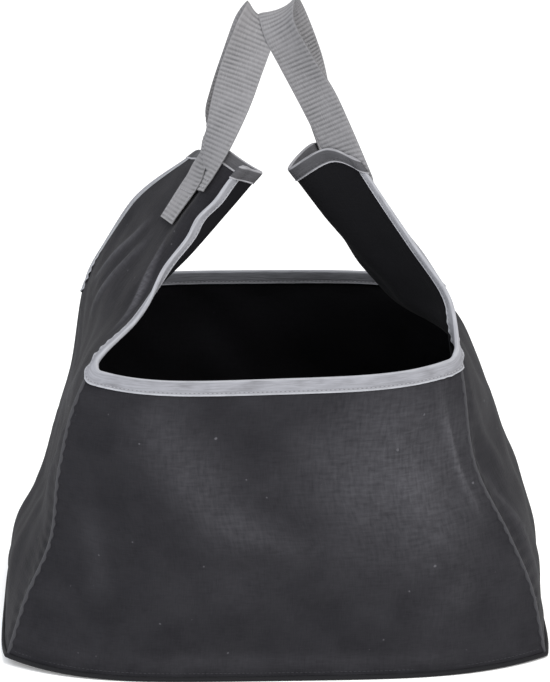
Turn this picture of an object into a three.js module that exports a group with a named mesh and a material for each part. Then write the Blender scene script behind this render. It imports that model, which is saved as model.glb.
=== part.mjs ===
// A log bag: a wide canvas bag with two low ends and two tall carrying sides, standing on its base.
// Millimetres, +Z up, X across the front, Y from front to back, origin under the middle of the base.
import * as THREE from 'three';

// Driving sizes
const CLOTH = 2;
const TAPE = 1;
const GAP = 0.45;
const RIM_TAPE_DEPTH = 13;
const TOP_TAPE_DEPTH = 20;
const BASE = {
  halfLength: 257, halfDepth: 150, endBow: 47, sideBow: 6, thickness: 2.2,
  lip: 2, cornerLift: 9, flatShare: 0.05, stepsAcross: 14, stepsDeep: 8,
};
const SEAM = { radius: 2, inset: 3.1, sides: 6, steps: 20, top: 0.985 };
const WEBBING = { width: 40, thickness: 2.2, clear: 0.9, lanes: 5, lip: 7, stepsPerStation: 3 };
const SIDE_STEPS = { across: [0.25, 0.33, 0.42, 0.5, 0.57, 0.64, 0.71, 0.78, 0.85], perSection: 3 };
const SLANT_START = 0.1;
const END_STEPS = { across: 18, up: 8 };
const RIM_SECTION = 4;
const RIM_ROW = RIM_SECTION * SIDE_STEPS.perSection;

// Colours of the cloth, the edge tape and the webbing
const FINISH = {
  canvas: { color: 0x38383d, roughness: 0.85, metalness: 0 },
  tape: { color: 0xa9abb2, roughness: 0.75, metalness: 0 },
  webbing: { color: 0x979799, roughness: 0.8, metalness: 0 },
};

// Sections of the tall sides above the base, one row each, up to the top edge.
// The columns are points along a section: the front edge, the turned front margin,
// the crest behind it, the belly of the side and the rear edge.
const LEFT_SECTIONS = [
  { front: [-238, -148, 70], turn: [-249, -95, 73], crest: [-254, -30, 75],
    belly: [-253, 60, 75], rear: [-240, 148, 70] },
  { front: [-214, -145, 126], turn: [-220, -95, 131], crest: [-222, -30, 134],
    belly: [-222, 60, 133], rear: [-216, 145, 126] },
  { front: [-204, -142, 200], turn: [-208, -95, 197], crest: [-206, -30, 194],
    belly: [-202, 60, 195], rear: [-198, 142, 200] },
  { front: [-179, -137, 288], turn: [-181, -95, 281], crest: [-181, -30, 272],
    belly: [-181, 55, 272], rear: [-183, 137, 290] },
  { front: [-129, -112, 335], turn: [-136, -88, 331], crest: [-151, -50, 325],
    belly: [-168, 30, 320], rear: [-166, 118, 335] },
  { front: [-91, -90, 386], turn: [-81, -80, 385], crest: [-102, -48, 387],
    belly: [-112, 10, 388], rear: [-138, 98, 388] },
  { front: [-29, -62, 466], turn: [-12, -48, 457], crest: [-44, -28, 464],
    belly: [-57, 22, 459], rear: [-71, 62, 447] },
];
const RIGHT_SECTIONS = [
  { front: [243, -147, 70], turn: [255, -95, 72], crest: [259, -30, 72],
    belly: [259, 60, 72], rear: [244, 147, 70] },
  { front: [220, -145, 125], turn: [237, -95, 127], crest: [245, -30, 128],
    belly: [245, 60, 128], rear: [222, 145, 125] },
  { front: [185, -141, 200], turn: [201, -95, 203], crest: [213, -30, 205],
    belly: [214, 60, 205], rear: [190, 141, 200] },
  { front: [174, -137, 306], turn: [182, -95, 296], crest: [182, -35, 286],
    belly: [184, 55, 284], rear: [179, 137, 288] },
  { front: [165, -117, 349], turn: [136, -78, 347], crest: [101, -33, 345],
    belly: [122, 40, 337], rear: [141, 112, 345] },
  { front: [137, -97, 395], turn: [102, -66, 397], crest: [62, -28, 393],
    belly: [82, 30, 392], rear: [108, 92, 390] },
  { front: [82, -60, 471], turn: [52, -44, 478], crest: [17, -22, 453],
    belly: [40, 25, 464], rear: [62, 62, 452] },
];
const COLUMNS = ['front', 'turn', 'crest', 'belly', 'rear'];
const COLUMN_SHARE = { front: -1, turn: -0.63, crest: -0.2, belly: 0.4, rear: 1 };

// Low end panels from base to rim: how far the middle bows out, and how far it dips
const END_SECTIONS = [
  { bow: BASE.endBow, dip: 0 },
  { bow: 50, dip: 2 },
  { bow: 45, dip: 1 },
];

// Webbing handles: where the two tabs lie on the side and how far up they are sewn, then the free
// stretch between them. A free row holds the strap's middle, the direction across it, and how far
// each edge curls out.
const LEFT_STRAP = {
  frontTab: { across: 0.545, sewnUp: [0.88, 0.905, 0.93] },
  rearTab: { across: 0.74, sewnUp: [0.88, 0.92, 0.96, 1] },
  free: [
    { middle: [-62, -28, 455], across: [-0.45, 0.88, 0.05], leftCurl: 0, rightCurl: 0 },
    { middle: [-54, -25, 474], across: [-0.65, 0.75, 0.1], leftCurl: 0, rightCurl: 0 },
    { middle: [-39, -21, 520], across: [-0.84, 0.45, 0.25], leftCurl: 1, rightCurl: 1 },
    { middle: [-27, -21, 558], across: [-0.93, 0.15, 0.28], leftCurl: 3, rightCurl: 2 },
    { middle: [-16, -18, 587], across: [-0.96, 0, 0.22], leftCurl: 8, rightCurl: 2 },
    { middle: [-11, -6, 598], across: [-0.97, 0, 0.2], leftCurl: 11, rightCurl: 2 },
    { middle: [-15, 8, 586], across: [-0.96, -0.05, 0.22], leftCurl: 7, rightCurl: 2 },
    { middle: [-26, 17, 553], across: [-0.92, -0.3, 0.28], leftCurl: 2, rightCurl: 2 },
    { middle: [-39, 24, 518], across: [-0.75, -0.63, 0.2], leftCurl: 0, rightCurl: 0 },
    { middle: [-51, 24, 489], across: [-0.4, -0.9, 0.1], leftCurl: 0, rightCurl: 0 },
  ],
};
const RIGHT_STRAP = {
  frontTab: { across: 0.17, sewnUp: [0.88, 0.92, 0.96, 1] },
  rearTab: { across: 0.87, sewnUp: [0.88, 0.92, 0.96, 1] },
  free: [
    { middle: [57, -42, 500], across: [-0.9, 0.35, -0.25], leftCurl: 0, rightCurl: 0 },
    { middle: [43, -36, 526], across: [-0.9, 0.15, -0.42], leftCurl: 1, rightCurl: 1 },
    { middle: [27, -32, 562], across: [-0.91, 0, -0.42], leftCurl: 2, rightCurl: 3 },
    { middle: [15, -29, 592], across: [-0.92, 0, -0.36], leftCurl: 3, rightCurl: 6 },
    { middle: [8, -8, 608], across: [-0.96, 0, -0.25], leftCurl: 3, rightCurl: 8 },
    { middle: [14, 17, 592], across: [-0.93, -0.05, -0.36], leftCurl: 3, rightCurl: 5 },
    { middle: [27, 27, 560], across: [-0.88, -0.25, -0.4], leftCurl: 1, rightCurl: 1 },
    { middle: [47, 38, 526], across: [-0.72, -0.6, -0.32], leftCurl: 0, rightCurl: 0 },
    { middle: [56, 43, 494], across: [-0.5, -0.83, -0.2], leftCurl: 0, rightCurl: 0 },
  ],
};

// Small steps for marching over a surface and for reading its normal
const MARCH = 0.004;
const PROBE = 0.003;

const vector = (xyz) => new THREE.Vector3(...xyz);
const clamp01 = (value) => Math.min(1, Math.max(0, value));
const fullness = (share) => 1 - share ** 4;
const range = (count) => Array.from({ length: count }, (_, index) => index);

// The base lies flat and lifts a little at its four corners
function baseLift(length, depth) {
  const corner = (length ** 4 * depth ** 4 - BASE.flatShare) / (1 - BASE.flatShare);
  return BASE.cornerLift * Math.max(0, corner);
}

const SEAT = BASE.thickness + GAP;

function baseSection(side) {
  const row = {};
  for (const column of COLUMNS) {
    const share = COLUMN_SHARE[column];
    const reach = BASE.halfLength + BASE.sideBow * fullness(share);
    row[column] = [side * reach, share * BASE.halfDepth, SEAT + baseLift(1, share)];
  }
  return row;
}

// A surface has a point and an outward normal at each place across it and up it, both from 0 to 1
function surface(point, outside) {
  const normal = (across, up) => {
    const left = point(clamp01(across - PROBE), up);
    const right = point(clamp01(across + PROBE), up);
    const below = point(across, clamp01(up - PROBE));
    const above = point(across, clamp01(up + PROBE));
    const out = right.sub(left).cross(above.sub(below)).multiplyScalar(outside);
    if (up === 0) out.z = 0;
    return out.normalize();
  };
  return { point, normal };
}

function tallSide(side, sections) {
  const rows = [baseSection(side), ...sections];
  const curve = (places) => new THREE.CatmullRomCurve3(places);
  const edges = COLUMNS.map((column) => curve(rows.map((row) => vector(row[column]))));
  const point = (across, up) => {
    const place = curve(edges.map((edge) => edge.getPoint(up))).getPoint(across);
    if (up === 0) place.z = SEAT + baseLift(1, place.y / BASE.halfDepth);
    return place;
  };
  return { ...surface(point, side), sections: rows.length - 1, rimUp: RIM_SECTION / (rows.length - 1) };
}

function lowEnd(facing, left, right) {
  const edge = facing < 0 ? 0 : 1;
  const shape = new THREE.CatmullRomCurve3(END_SECTIONS.map((row) => vector([row.bow, row.dip, 0])));
  const point = (across, up) => {
    const place = left.point(edge, up * left.rimUp).lerp(right.point(edge, up * right.rimUp), across);
    const share = 2 * across - 1;
    const { x: bow, y: dip } = shape.getPoint(up);
    const settle = (BASE.cornerLift - baseLift(share, 1)) * (1 - up) ** 3;
    place.y += facing * bow * fullness(share);
    place.z -= dip * fullness(share) + settle;
    return place;
  };
  return surface(point, -facing);
}

// Walks over a surface from one place for a distance in millimetres and gives the place reached
function walk(panel, across, up, towards, distance) {
  let place = { across, up };
  let here = panel.point(across, up);
  let rest = distance;
  for (;;) {
    const next = { across: place.across + MARCH * towards.across, up: place.up + MARCH * towards.up };
    const there = panel.point(clamp01(next.across), clamp01(next.up));
    const run = there.distanceTo(here);
    if (run >= rest) {
      const share = (MARCH * rest) / run;
      return { across: place.across + share * towards.across, up: place.up + share * towards.up };
    }
    rest -= run;
    place = next;
    here = there;
  }
}

const REARWARD = { across: 1, up: 0 };
const FORWARD = { across: -1, up: 0 };
const DOWNWARD = { across: 0, up: -1 };

// Closed mesh from points and triangles, with its faces turned out
function closedMesh(points, triangles) {
  let volume = 0;
  for (let i = 0; i < triangles.length; i += 3) {
    const [a, b, c] = [points[triangles[i]], points[triangles[i + 1]], points[triangles[i + 2]]];
    volume += a.dot(b.clone().cross(c));
  }
  const geometry = new THREE.BufferGeometry().setFromPoints(points);
  geometry.setIndex(volume > 0 ? triangles : triangles.slice().reverse());
  geometry.computeVertexNormals();
  return geometry;
}

// Closed wall between two grids of points that face each other
function wall(outer, inner) {
  const rows = outer.length;
  const columns = outer[0].length;
  const count = rows * columns;
  const index = (row, column) => row * columns + column;
  const triangles = [];
  const quad = (a, b, c, d) => triangles.push(a, b, c, a, c, d);
  for (let row = 0; row + 1 < rows; row += 1) {
    for (let column = 0; column + 1 < columns; column += 1) {
      const near = [index(row, column), index(row, column + 1)];
      const far = [index(row + 1, column + 1), index(row + 1, column)];
      const corners = [...near, ...far];
      quad(...corners);
      quad(...corners.map((corner) => corner + count).reverse());
    }
  }
  const border = [
    ...range(columns - 1).map((column) => index(0, column)),
    ...range(rows - 1).map((row) => index(row, columns - 1)),
    ...range(columns - 1).map((column) => index(rows - 1, columns - 1 - column)),
    ...range(rows - 1).map((row) => index(rows - 1 - row, 0)),
  ];
  border.forEach((from, i) => {
    const to = border[(i + 1) % border.length];
    quad(to, from, from + count, to + count);
  });
  return closedMesh([...outer.flat(), ...inner.flat()], triangles);
}

function liftedAt(panel, { across, up }, height) {
  return panel.point(across, up).addScaledVector(panel.normal(across, up), height);
}

// Places on a panel where its facets meet: evenly spaced lines, with closer ones under the edge tapes
function cutPlaces(panel, columns, rows) {
  return rows.map((row) => columns.map((column) => {
    const across = column(panel, row.up);
    const up = row.below === undefined ? row.up : walk(panel, across, 1, DOWNWARD, row.below).up;
    return { across, up };
  }));
}

const evenly = (across) => () => across;
const fromFront = (distance) => (panel, up) => walk(panel, 0, up, REARWARD, distance).across;
const fromRear = (distance) => (panel, up) => walk(panel, 1, up, FORWARD, distance).across;

function cutEnd(panel) {
  const columns = range(END_STEPS.across + 1).map((step) => evenly(step / END_STEPS.across));
  columns[0] = fromFront(SEAM.inset);
  columns[END_STEPS.across] = fromRear(SEAM.inset);
  const rows = [
    ...range(END_STEPS.up).map((step) => ({ up: step / END_STEPS.up })),
    ...[RIM_TAPE_DEPTH, RIM_TAPE_DEPTH / 2, 0].map((below) => ({ up: 1, below })),
  ];
  return cutPlaces(panel, columns, rows);
}

function cutSide(panel) {
  const tapeLines = [0, RIM_TAPE_DEPTH / 2, RIM_TAPE_DEPTH].map((depth) => SEAM.inset + depth);
  const columns = [
    ...tapeLines.map(fromFront),
    ...SIDE_STEPS.across.map(evenly),
    ...tapeLines.slice().reverse().map(fromRear),
  ];
  const steps = SIDE_STEPS.perSection * panel.sections;
  const topLines = [TOP_TAPE_DEPTH + 2 * GAP, TOP_TAPE_DEPTH / 2, 0];
  const lines = range(steps);
  lines.splice(RIM_ROW + 1, 0, RIM_ROW + SLANT_START);
  const rows = [
    ...lines.map((step) => ({ up: step / steps })),
    ...topLines.map((below) => ({ up: 1, below })),
  ];
  return cutPlaces(panel, columns, rows);
}

function clothPanel(panel, places) {
  const face = (height) => places.map((row) => row.map((place) => liftedAt(panel, place, height)));
  return wall(face(CLOTH / 2), face(-CLOTH / 2));
}

function basePanel() {
  const level = (height) => range(BASE.stepsDeep + 1).map((row) => {
    const depth = (2 * row) / BASE.stepsDeep - 1;
    return range(BASE.stepsAcross + 1).map((column) => {
      const length = (2 * column) / BASE.stepsAcross - 1;
      return new THREE.Vector3(
        length * (BASE.halfLength + BASE.lip + BASE.sideBow * fullness(depth)),
        depth * (BASE.halfDepth + BASE.lip + BASE.endBow * fullness(length)),
        height + baseLift(length, depth),
      );
    });
  });
  return wall(level(BASE.thickness), level(0));
}

// Tape folded over a cloth edge: down one face, round the edge and down the other face.
// A station holds three places on the cloth: deep under the tape, half way, and at the edge.
function edgeTape(panel, stations) {
  const clear = CLOTH / 2 + GAP;
  const side = (thickness) => stations.map((station) => {
    const [half, edge] = station.slice(1).map((place) => panel.point(place.across, place.up));
    const beyond = edge.sub(half).normalize().multiplyScalar(GAP + thickness);
    const leg = (face) => station.map((place) => liftedAt(panel, place, face * (clear + thickness)));
    const fold = (face) => liftedAt(panel, station[2], (face * (clear + thickness)) / 2).add(beyond);
    return [...leg(1), fold(1), fold(-1), ...leg(-1).reverse()];
  });
  return wall(side(TAPE), side(0));
}

const between = (from, to, share) => ({
  across: THREE.MathUtils.lerp(from.across, to.across, share),
  up: THREE.MathUtils.lerp(from.up, to.up, share),
});

function rimTape(panel, places) {
  const lines = places.slice(-3);
  return edgeTape(panel, places[0].map((_, column) => lines.map((line) => line[column])));
}

function topTape(panel, places) {
  const [low, half, edge] = places.slice(-3);
  const trim = (2 * GAP) / (TOP_TAPE_DEPTH / 2 + 2 * GAP);
  const deep = low.map((place, column) => between(place, half[column], trim));
  return edgeTape(panel, edge.map((place, column) => [deep[column], half[column], place]));
}

function slantTape(panel, places, edge) {
  const rows = places.slice(RIM_ROW + 1, -2);
  const margin = (row) => (edge === 0 ? row.slice(0, 3).reverse() : row.slice(-3));
  return edgeTape(panel, rows.map(margin));
}

// Raised corner seam: a slim welt along the line where a side and an end meet
function cornerSeam(panel, edge) {
  const rings = range(SEAM.steps + 1).map((step) => {
    const up = (step / SEAM.steps) * SEAM.top * panel.rimUp;
    const middle = panel.point(edge, up);
    return range(SEAM.sides).map((corner) => {
      const angle = (2 * Math.PI * corner) / SEAM.sides;
      const spoke = vector([Math.cos(angle), Math.sin(angle), 0]);
      return middle.clone().addScaledVector(spoke, SEAM.radius);
    });
  });
  const triangles = [];
  const index = (ring, corner) => ring * SEAM.sides + (corner % SEAM.sides);
  for (let ring = 0; ring < SEAM.steps; ring += 1) {
    for (let corner = 0; corner < SEAM.sides; corner += 1) {
      const [a, b] = [index(ring, corner), index(ring, corner + 1)];
      const [c, d] = [index(ring + 1, corner + 1), index(ring + 1, corner)];
      triangles.push(a, b, c, a, c, d);
    }
  }
  for (let corner = 1; corner + 1 < SEAM.sides; corner += 1) {
    triangles.push(index(0, 0), index(0, corner + 1), index(0, corner));
    triangles.push(index(SEAM.steps, 0), index(SEAM.steps, corner), index(SEAM.steps, corner + 1));
  }
  return closedMesh(rings.flat(), triangles);
}

// Webbing handle: tab, twisted leg, arch, leg and tab, as one ribbon of parallel lanes
function handle(panel, strap) {
  const shares = range(WEBBING.lanes).map((lane) => (2 * lane) / (WEBBING.lanes - 1) - 1);
  const height = CLOTH / 2 + GAP + TAPE + WEBBING.clear + WEBBING.thickness / 2;
  const tabRows = (tab, turned) => {
    const rows = tab.sewnUp.map((up) => shares.map((share) => {
      const towards = share * turned > 0 ? REARWARD : FORWARD;
      const place = walk(panel, tab.across, up, towards, (Math.abs(share) * WEBBING.width) / 2);
      return liftedAt(panel, place, height);
    }));
    const [under, edge] = rows.slice(-2);
    const lip = edge.map((place, lane) => (
      place.clone().addScaledVector(place.clone().sub(under[lane]).normalize(), WEBBING.lip)
    ));
    return [...rows, lip];
  };
  const middles = strap.free.map((row) => vector(row.middle));
  const freeRows = strap.free.map((row, i) => {
    const before = middles[Math.max(0, i - 1)];
    const after = middles[Math.min(middles.length - 1, i + 1)];
    const along = after.clone().sub(before).normalize();
    const across = vector(row.across);
    across.addScaledVector(along, -across.dot(along)).normalize();
    const out = along.cross(across);
    return shares.map((share) => {
      const curl = (share > 0 ? row.leftCurl : row.rightCurl) * share ** 2;
      const sideways = (share * WEBBING.width) / 2;
      return middles[i].clone().addScaledVector(across, sideways).addScaledVector(out, curl);
    });
  });
  const rows = [...tabRows(strap.frontTab, 1), ...freeRows, ...tabRows(strap.rearTab, -1).reverse()];
  const lanes = shares.map((_, lane) => new THREE.CatmullRomCurve3(rows.map((row) => row[lane])));
  const steps = WEBBING.stepsPerStation * (rows.length - 1);
  const middle = range(steps + 1).map((step) => lanes.map((lane) => lane.getPoint(step / steps)));
  const faces = [1, -1].map((face) => middle.map((row, step) => row.map((place, lane) => {
    const before = middle[Math.max(0, step - 1)][lane];
    const after = middle[Math.min(steps, step + 1)][lane];
    const across = row[Math.min(WEBBING.lanes - 1, lane + 1)].clone().sub(row[Math.max(0, lane - 1)]);
    const out = after.clone().sub(before).cross(across).normalize();
    return place.clone().addScaledVector(out, (face * WEBBING.thickness) / 2);
  })));
  return wall(...faces);
}

const materials = Object.fromEntries(
  Object.entries(FINISH).map(([slot, finish]) => [slot, new THREE.MeshStandardMaterial(finish)]),
);
const bag = new THREE.Group();

function add(name, geometry, slot) {
  const mesh = new THREE.Mesh(geometry, materials[slot]);
  mesh.name = name;
  bag.add(mesh);
}

const sides = { left: tallSide(-1, LEFT_SECTIONS), right: tallSide(1, RIGHT_SECTIONS) };
const straps = { left: LEFT_STRAP, right: RIGHT_STRAP };
const ends = { front: lowEnd(-1, sides.left, sides.right), back: lowEnd(1, sides.left, sides.right) };

add('base_panel', basePanel(), 'canvas');
for (const [end, panel] of Object.entries(ends)) {
  const places = cutEnd(panel);
  add(`${end}_panel`, clothPanel(panel, places), 'canvas');
  add(`${end}_rim_tape`, rimTape(panel, places), 'tape');
}
for (const [side, panel] of Object.entries(sides)) {
  const places = cutSide(panel);
  add(`${side}_panel`, clothPanel(panel, places), 'canvas');
  add(`${side}_top_tape`, topTape(panel, places), 'tape');
  add(`${side}_handle`, handle(panel, straps[side]), 'webbing');
  for (const [end, edge] of [['front', 0], ['back', 1]]) {
    add(`${side}_${end}_tape`, slantTape(panel, places, edge), 'tape');
    add(`${side}_${end}_seam`, cornerSeam(panel, edge), 'canvas');
  }
}

export default bag;
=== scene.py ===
"""A standing canvas log bag: folded cloth panels, stitched edge binding and ribbed webbing handles."""

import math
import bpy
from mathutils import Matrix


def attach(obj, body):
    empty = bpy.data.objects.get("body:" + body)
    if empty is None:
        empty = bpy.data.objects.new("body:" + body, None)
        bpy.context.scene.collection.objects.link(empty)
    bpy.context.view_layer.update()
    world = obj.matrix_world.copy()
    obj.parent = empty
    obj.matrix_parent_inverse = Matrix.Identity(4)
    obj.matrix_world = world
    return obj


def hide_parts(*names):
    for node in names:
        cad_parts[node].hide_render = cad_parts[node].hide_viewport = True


bl_info = {
    "name": "Log Bag",
    "version": (1, 0, 0),
    "blender": (4, 5, 0),
    "location": "View3D > Sidebar > Log Bag",
    "description": "Builds a canvas log bag with bound edges and webbing handles around its packed frame",
    "category": "Add Mesh",
}

from functools import wraps

import bpy
import numpy as np
from bpy.props import FloatProperty, FloatVectorProperty, PointerProperty
from mathutils import Vector

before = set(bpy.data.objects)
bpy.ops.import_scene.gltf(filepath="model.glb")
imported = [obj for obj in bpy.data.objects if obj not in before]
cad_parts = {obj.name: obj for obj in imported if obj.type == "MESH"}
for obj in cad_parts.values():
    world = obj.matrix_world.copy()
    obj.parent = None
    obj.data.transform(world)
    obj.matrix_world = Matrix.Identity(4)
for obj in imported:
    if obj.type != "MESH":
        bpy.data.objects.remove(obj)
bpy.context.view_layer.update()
BODY = "root"


def table(columns, *rows):
    """The rows of a table, each with its values under the columns' names."""
    return [dict(zip(columns, row)) for row in rows]


# The sewn pattern is in millimetres, as on a cutting table, and becomes metres where a mesh is made
MM = 0.001
COLUMNS = ("front", "turn", "crest", "belly", "rear")
COLUMN_SHARES = (-1.0, -0.63, -0.2, 0.4, 1.0)
RIM_SECTION = 4
HALF_LENGTH = 257
HALF_DEPTH = 150
END_BOW = 47
SIDE_BOW = 6
BOW_POWER = 4
BASE_THICKNESS = 2.2
BASE_LIP = 2
CORNER_LIFTS = {"left": 8.0, "right": 1.5}
FLAT_SHARE = 0.05
SETTLE_POWER = 3
GAP = 0.45
SEAT = BASE_THICKNESS + GAP

# Sections of the tall sides above the base, up to the top edge
LEFT_SECTIONS = table(
    COLUMNS,
    ((-238, -148, 70), (-249, -95, 73), (-254, -30, 75), (-253, 60, 75), (-240, 148, 70)),
    ((-214, -145, 126), (-220, -95, 131), (-222, -30, 134), (-222, 60, 133), (-216, 145, 126)),
    ((-204, -142, 200), (-208, -95, 197), (-206, -30, 194), (-202, 60, 195), (-198, 142, 200)),
    ((-179, -137, 288), (-181, -95, 281), (-181, -30, 272), (-181, 55, 272), (-183, 137, 290)),
    ((-129, -112, 335), (-136, -88, 331), (-151, -50, 325), (-168, 30, 320), (-166, 118, 335)),
    ((-91, -90, 386), (-81, -80, 385), (-102, -48, 387), (-112, 10, 388), (-138, 98, 388)),
    ((-29, -62, 466), (-12, -48, 457), (-44, -28, 464), (-57, 22, 459), (-71, 62, 447)),
)
RIGHT_SECTIONS = table(
    COLUMNS,
    ((243, -147, 70), (255, -95, 72), (259, -30, 72), (259, 60, 72), (244, 147, 70)),
    ((220, -145, 125), (237, -95, 127), (245, -30, 128), (245, 60, 128), (222, 145, 125)),
    ((185, -141, 200), (201, -95, 203), (213, -30, 205), (214, 60, 205), (190, 141, 200)),
    ((174, -137, 306), (182, -95, 296), (182, -35, 286), (184, 55, 284), (179, 137, 288)),
    ((165, -117, 349), (136, -78, 347), (101, -33, 345), (122, 40, 337), (141, 112, 345)),
    ((137, -97, 395), (102, -66, 397), (62, -28, 393), (82, 30, 392), (108, 92, 390)),
    ((82, -60, 471), (52, -44, 478), (17, -22, 453), (40, 25, 464), (62, 62, 452)),
)

# Where use has tugged the cloth of a side out of its plain shape: a place, how far the tug reaches across
# and up, both as shares of the side, and how far it moves the cloth
TUG_COLUMNS = ("across", "up", "wide", "tall", "move")
TUGS = {
    "left": table(
        TUG_COLUMNS,
        (0.0, 0.571, 0.2, 0.055, (5, -1, 4)),
        (0.9, 0.345, 0.6, 0.06, (-4, 0, 0)),
        (0.85, 0.195, 0.5, 0.045, (6, 0, 0)),
        (0.55, 0.92, 0.13, 0.1, (3.5, 0.5, -2.5)),
        (0.8, 0.92, 0.13, 0.1, (-3.5, -0.5, 2.5)),
        (0.0, 0.922, 0.14, 0.022, (-5.5, 0, 1)),
        (0.0, 0.84, 0.2, 0.07, (-6.5, 0, 0)),
        (0.0, 0.975, 0.14, 0.03, (-3.5, 0, 0)),
        (1.0, 0.82, 0.35, 0.1, (4.5, 0, 0)),
        (0.42, 0.955, 0.085, 0.05, (-8.6, -3.6, 7.6)),
        (0.5, 0.9, 0.07, 0.04, (-4.3, -1.8, 3.8)),
        (0.5, 1.0, 0.12, 0.035, (0, 0, 9)),
    ),
    "right": table(
        TUG_COLUMNS,
        (0.0, 0.571, 0.2, 0.05, (-3, -1, -6)),
        (0.4, 0.65, 0.28, 0.05, (-15, 0, 0)),
        (0.95, 0.6, 0.25, 0.06, (-5, 0, 0)),
        (0.0, 0.9, 0.12, 0.12, (-4, 0, 0)),
        (0.65, 0.45, 0.5, 0.05, (3, 0, 0)),
    ),
}

# Low ends from base to rim: how far the middle bows out and how far it dips
END_SECTIONS = table(("bow", "dip"), (END_BOW, 0), (50, 2), (45, 1))

# Handles: from where to where across and up a side each tab is sewn, how high over the cloth it lies where
# one is sewn over another, and the free webbing between the tabs
STRAP_COLUMNS = ("middle", "across", "left_curl", "right_curl")
STRAPS = {
    "left": {
        "front_tab": {"across": (0.522, 0.522), "sewn_up": (0.944, 0.966), "lies_on": 0.0},
        "rear_tab": {"across": (0.645, 0.665), "sewn_up": (0.88, 0.985), "lies_on": 2.0},
        "free": table(
            STRAP_COLUMNS,
            ((-59.6, -30, 457.5), (-0.28, 0.95, -0.06), 0, 0),
            ((-53.5, -27, 477), (-0.54, 0.84, 0.03), 0, 0),
            ((-39, -21, 520), (-0.84, 0.45, 0.25), 1, 1),
            ((-27, -21, 558), (-0.93, 0.15, 0.28), 3, 2),
            ((-16, -18, 587), (-0.96, 0, 0.22), 8, 2),
            ((-9, -6, 597), (-0.85, 0, 0.42), 9, 2),
            ((-15, 8, 586), (-0.96, -0.05, 0.22), 7, 2),
            ((-28, 17, 553), (-0.92, -0.3, 0.28), 2, 2),
            ((-44, 24, 518), (-0.75, -0.63, 0.2), 0, 0),
            ((-56, 20, 497), (-0.45, -0.88, 0.12), 0, 0),
            ((-62, 13, 479), (-0.02, -0.99, 0), 0, 0),
        ),
    },
    "right": {
        "front_tab": {"across": (0.29, 0.19), "sewn_up": (0.865, 0.955), "lies_on": 0.0},
        "rear_tab": {"across": (0.77, 0.83), "sewn_up": (0.865, 0.955), "lies_on": 0.0},
        "free": table(
            STRAP_COLUMNS,
            ((58.5, -44, 493), (-0.78, 0.48, -0.4), 0, 0),
            ((43, -37, 526), (-0.78, 0.42, -0.46), 1, 1),
            ((23.6, -33, 562), (-0.73, 0.5, -0.46), 2, 3),
            ((9, -29, 592), (-0.72, 0.5, -0.46), 3, 5),
            ((7, -8, 605), (-0.92, 0, -0.36), 3, 6),
            ((14, 17, 592), (-0.93, -0.05, -0.36), 3, 5),
            ((27, 27, 560), (-0.88, -0.25, -0.4), 1, 1),
            ((40, 38, 526), (-0.72, -0.6, -0.32), 0, 0),
        ),
    },
}

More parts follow.
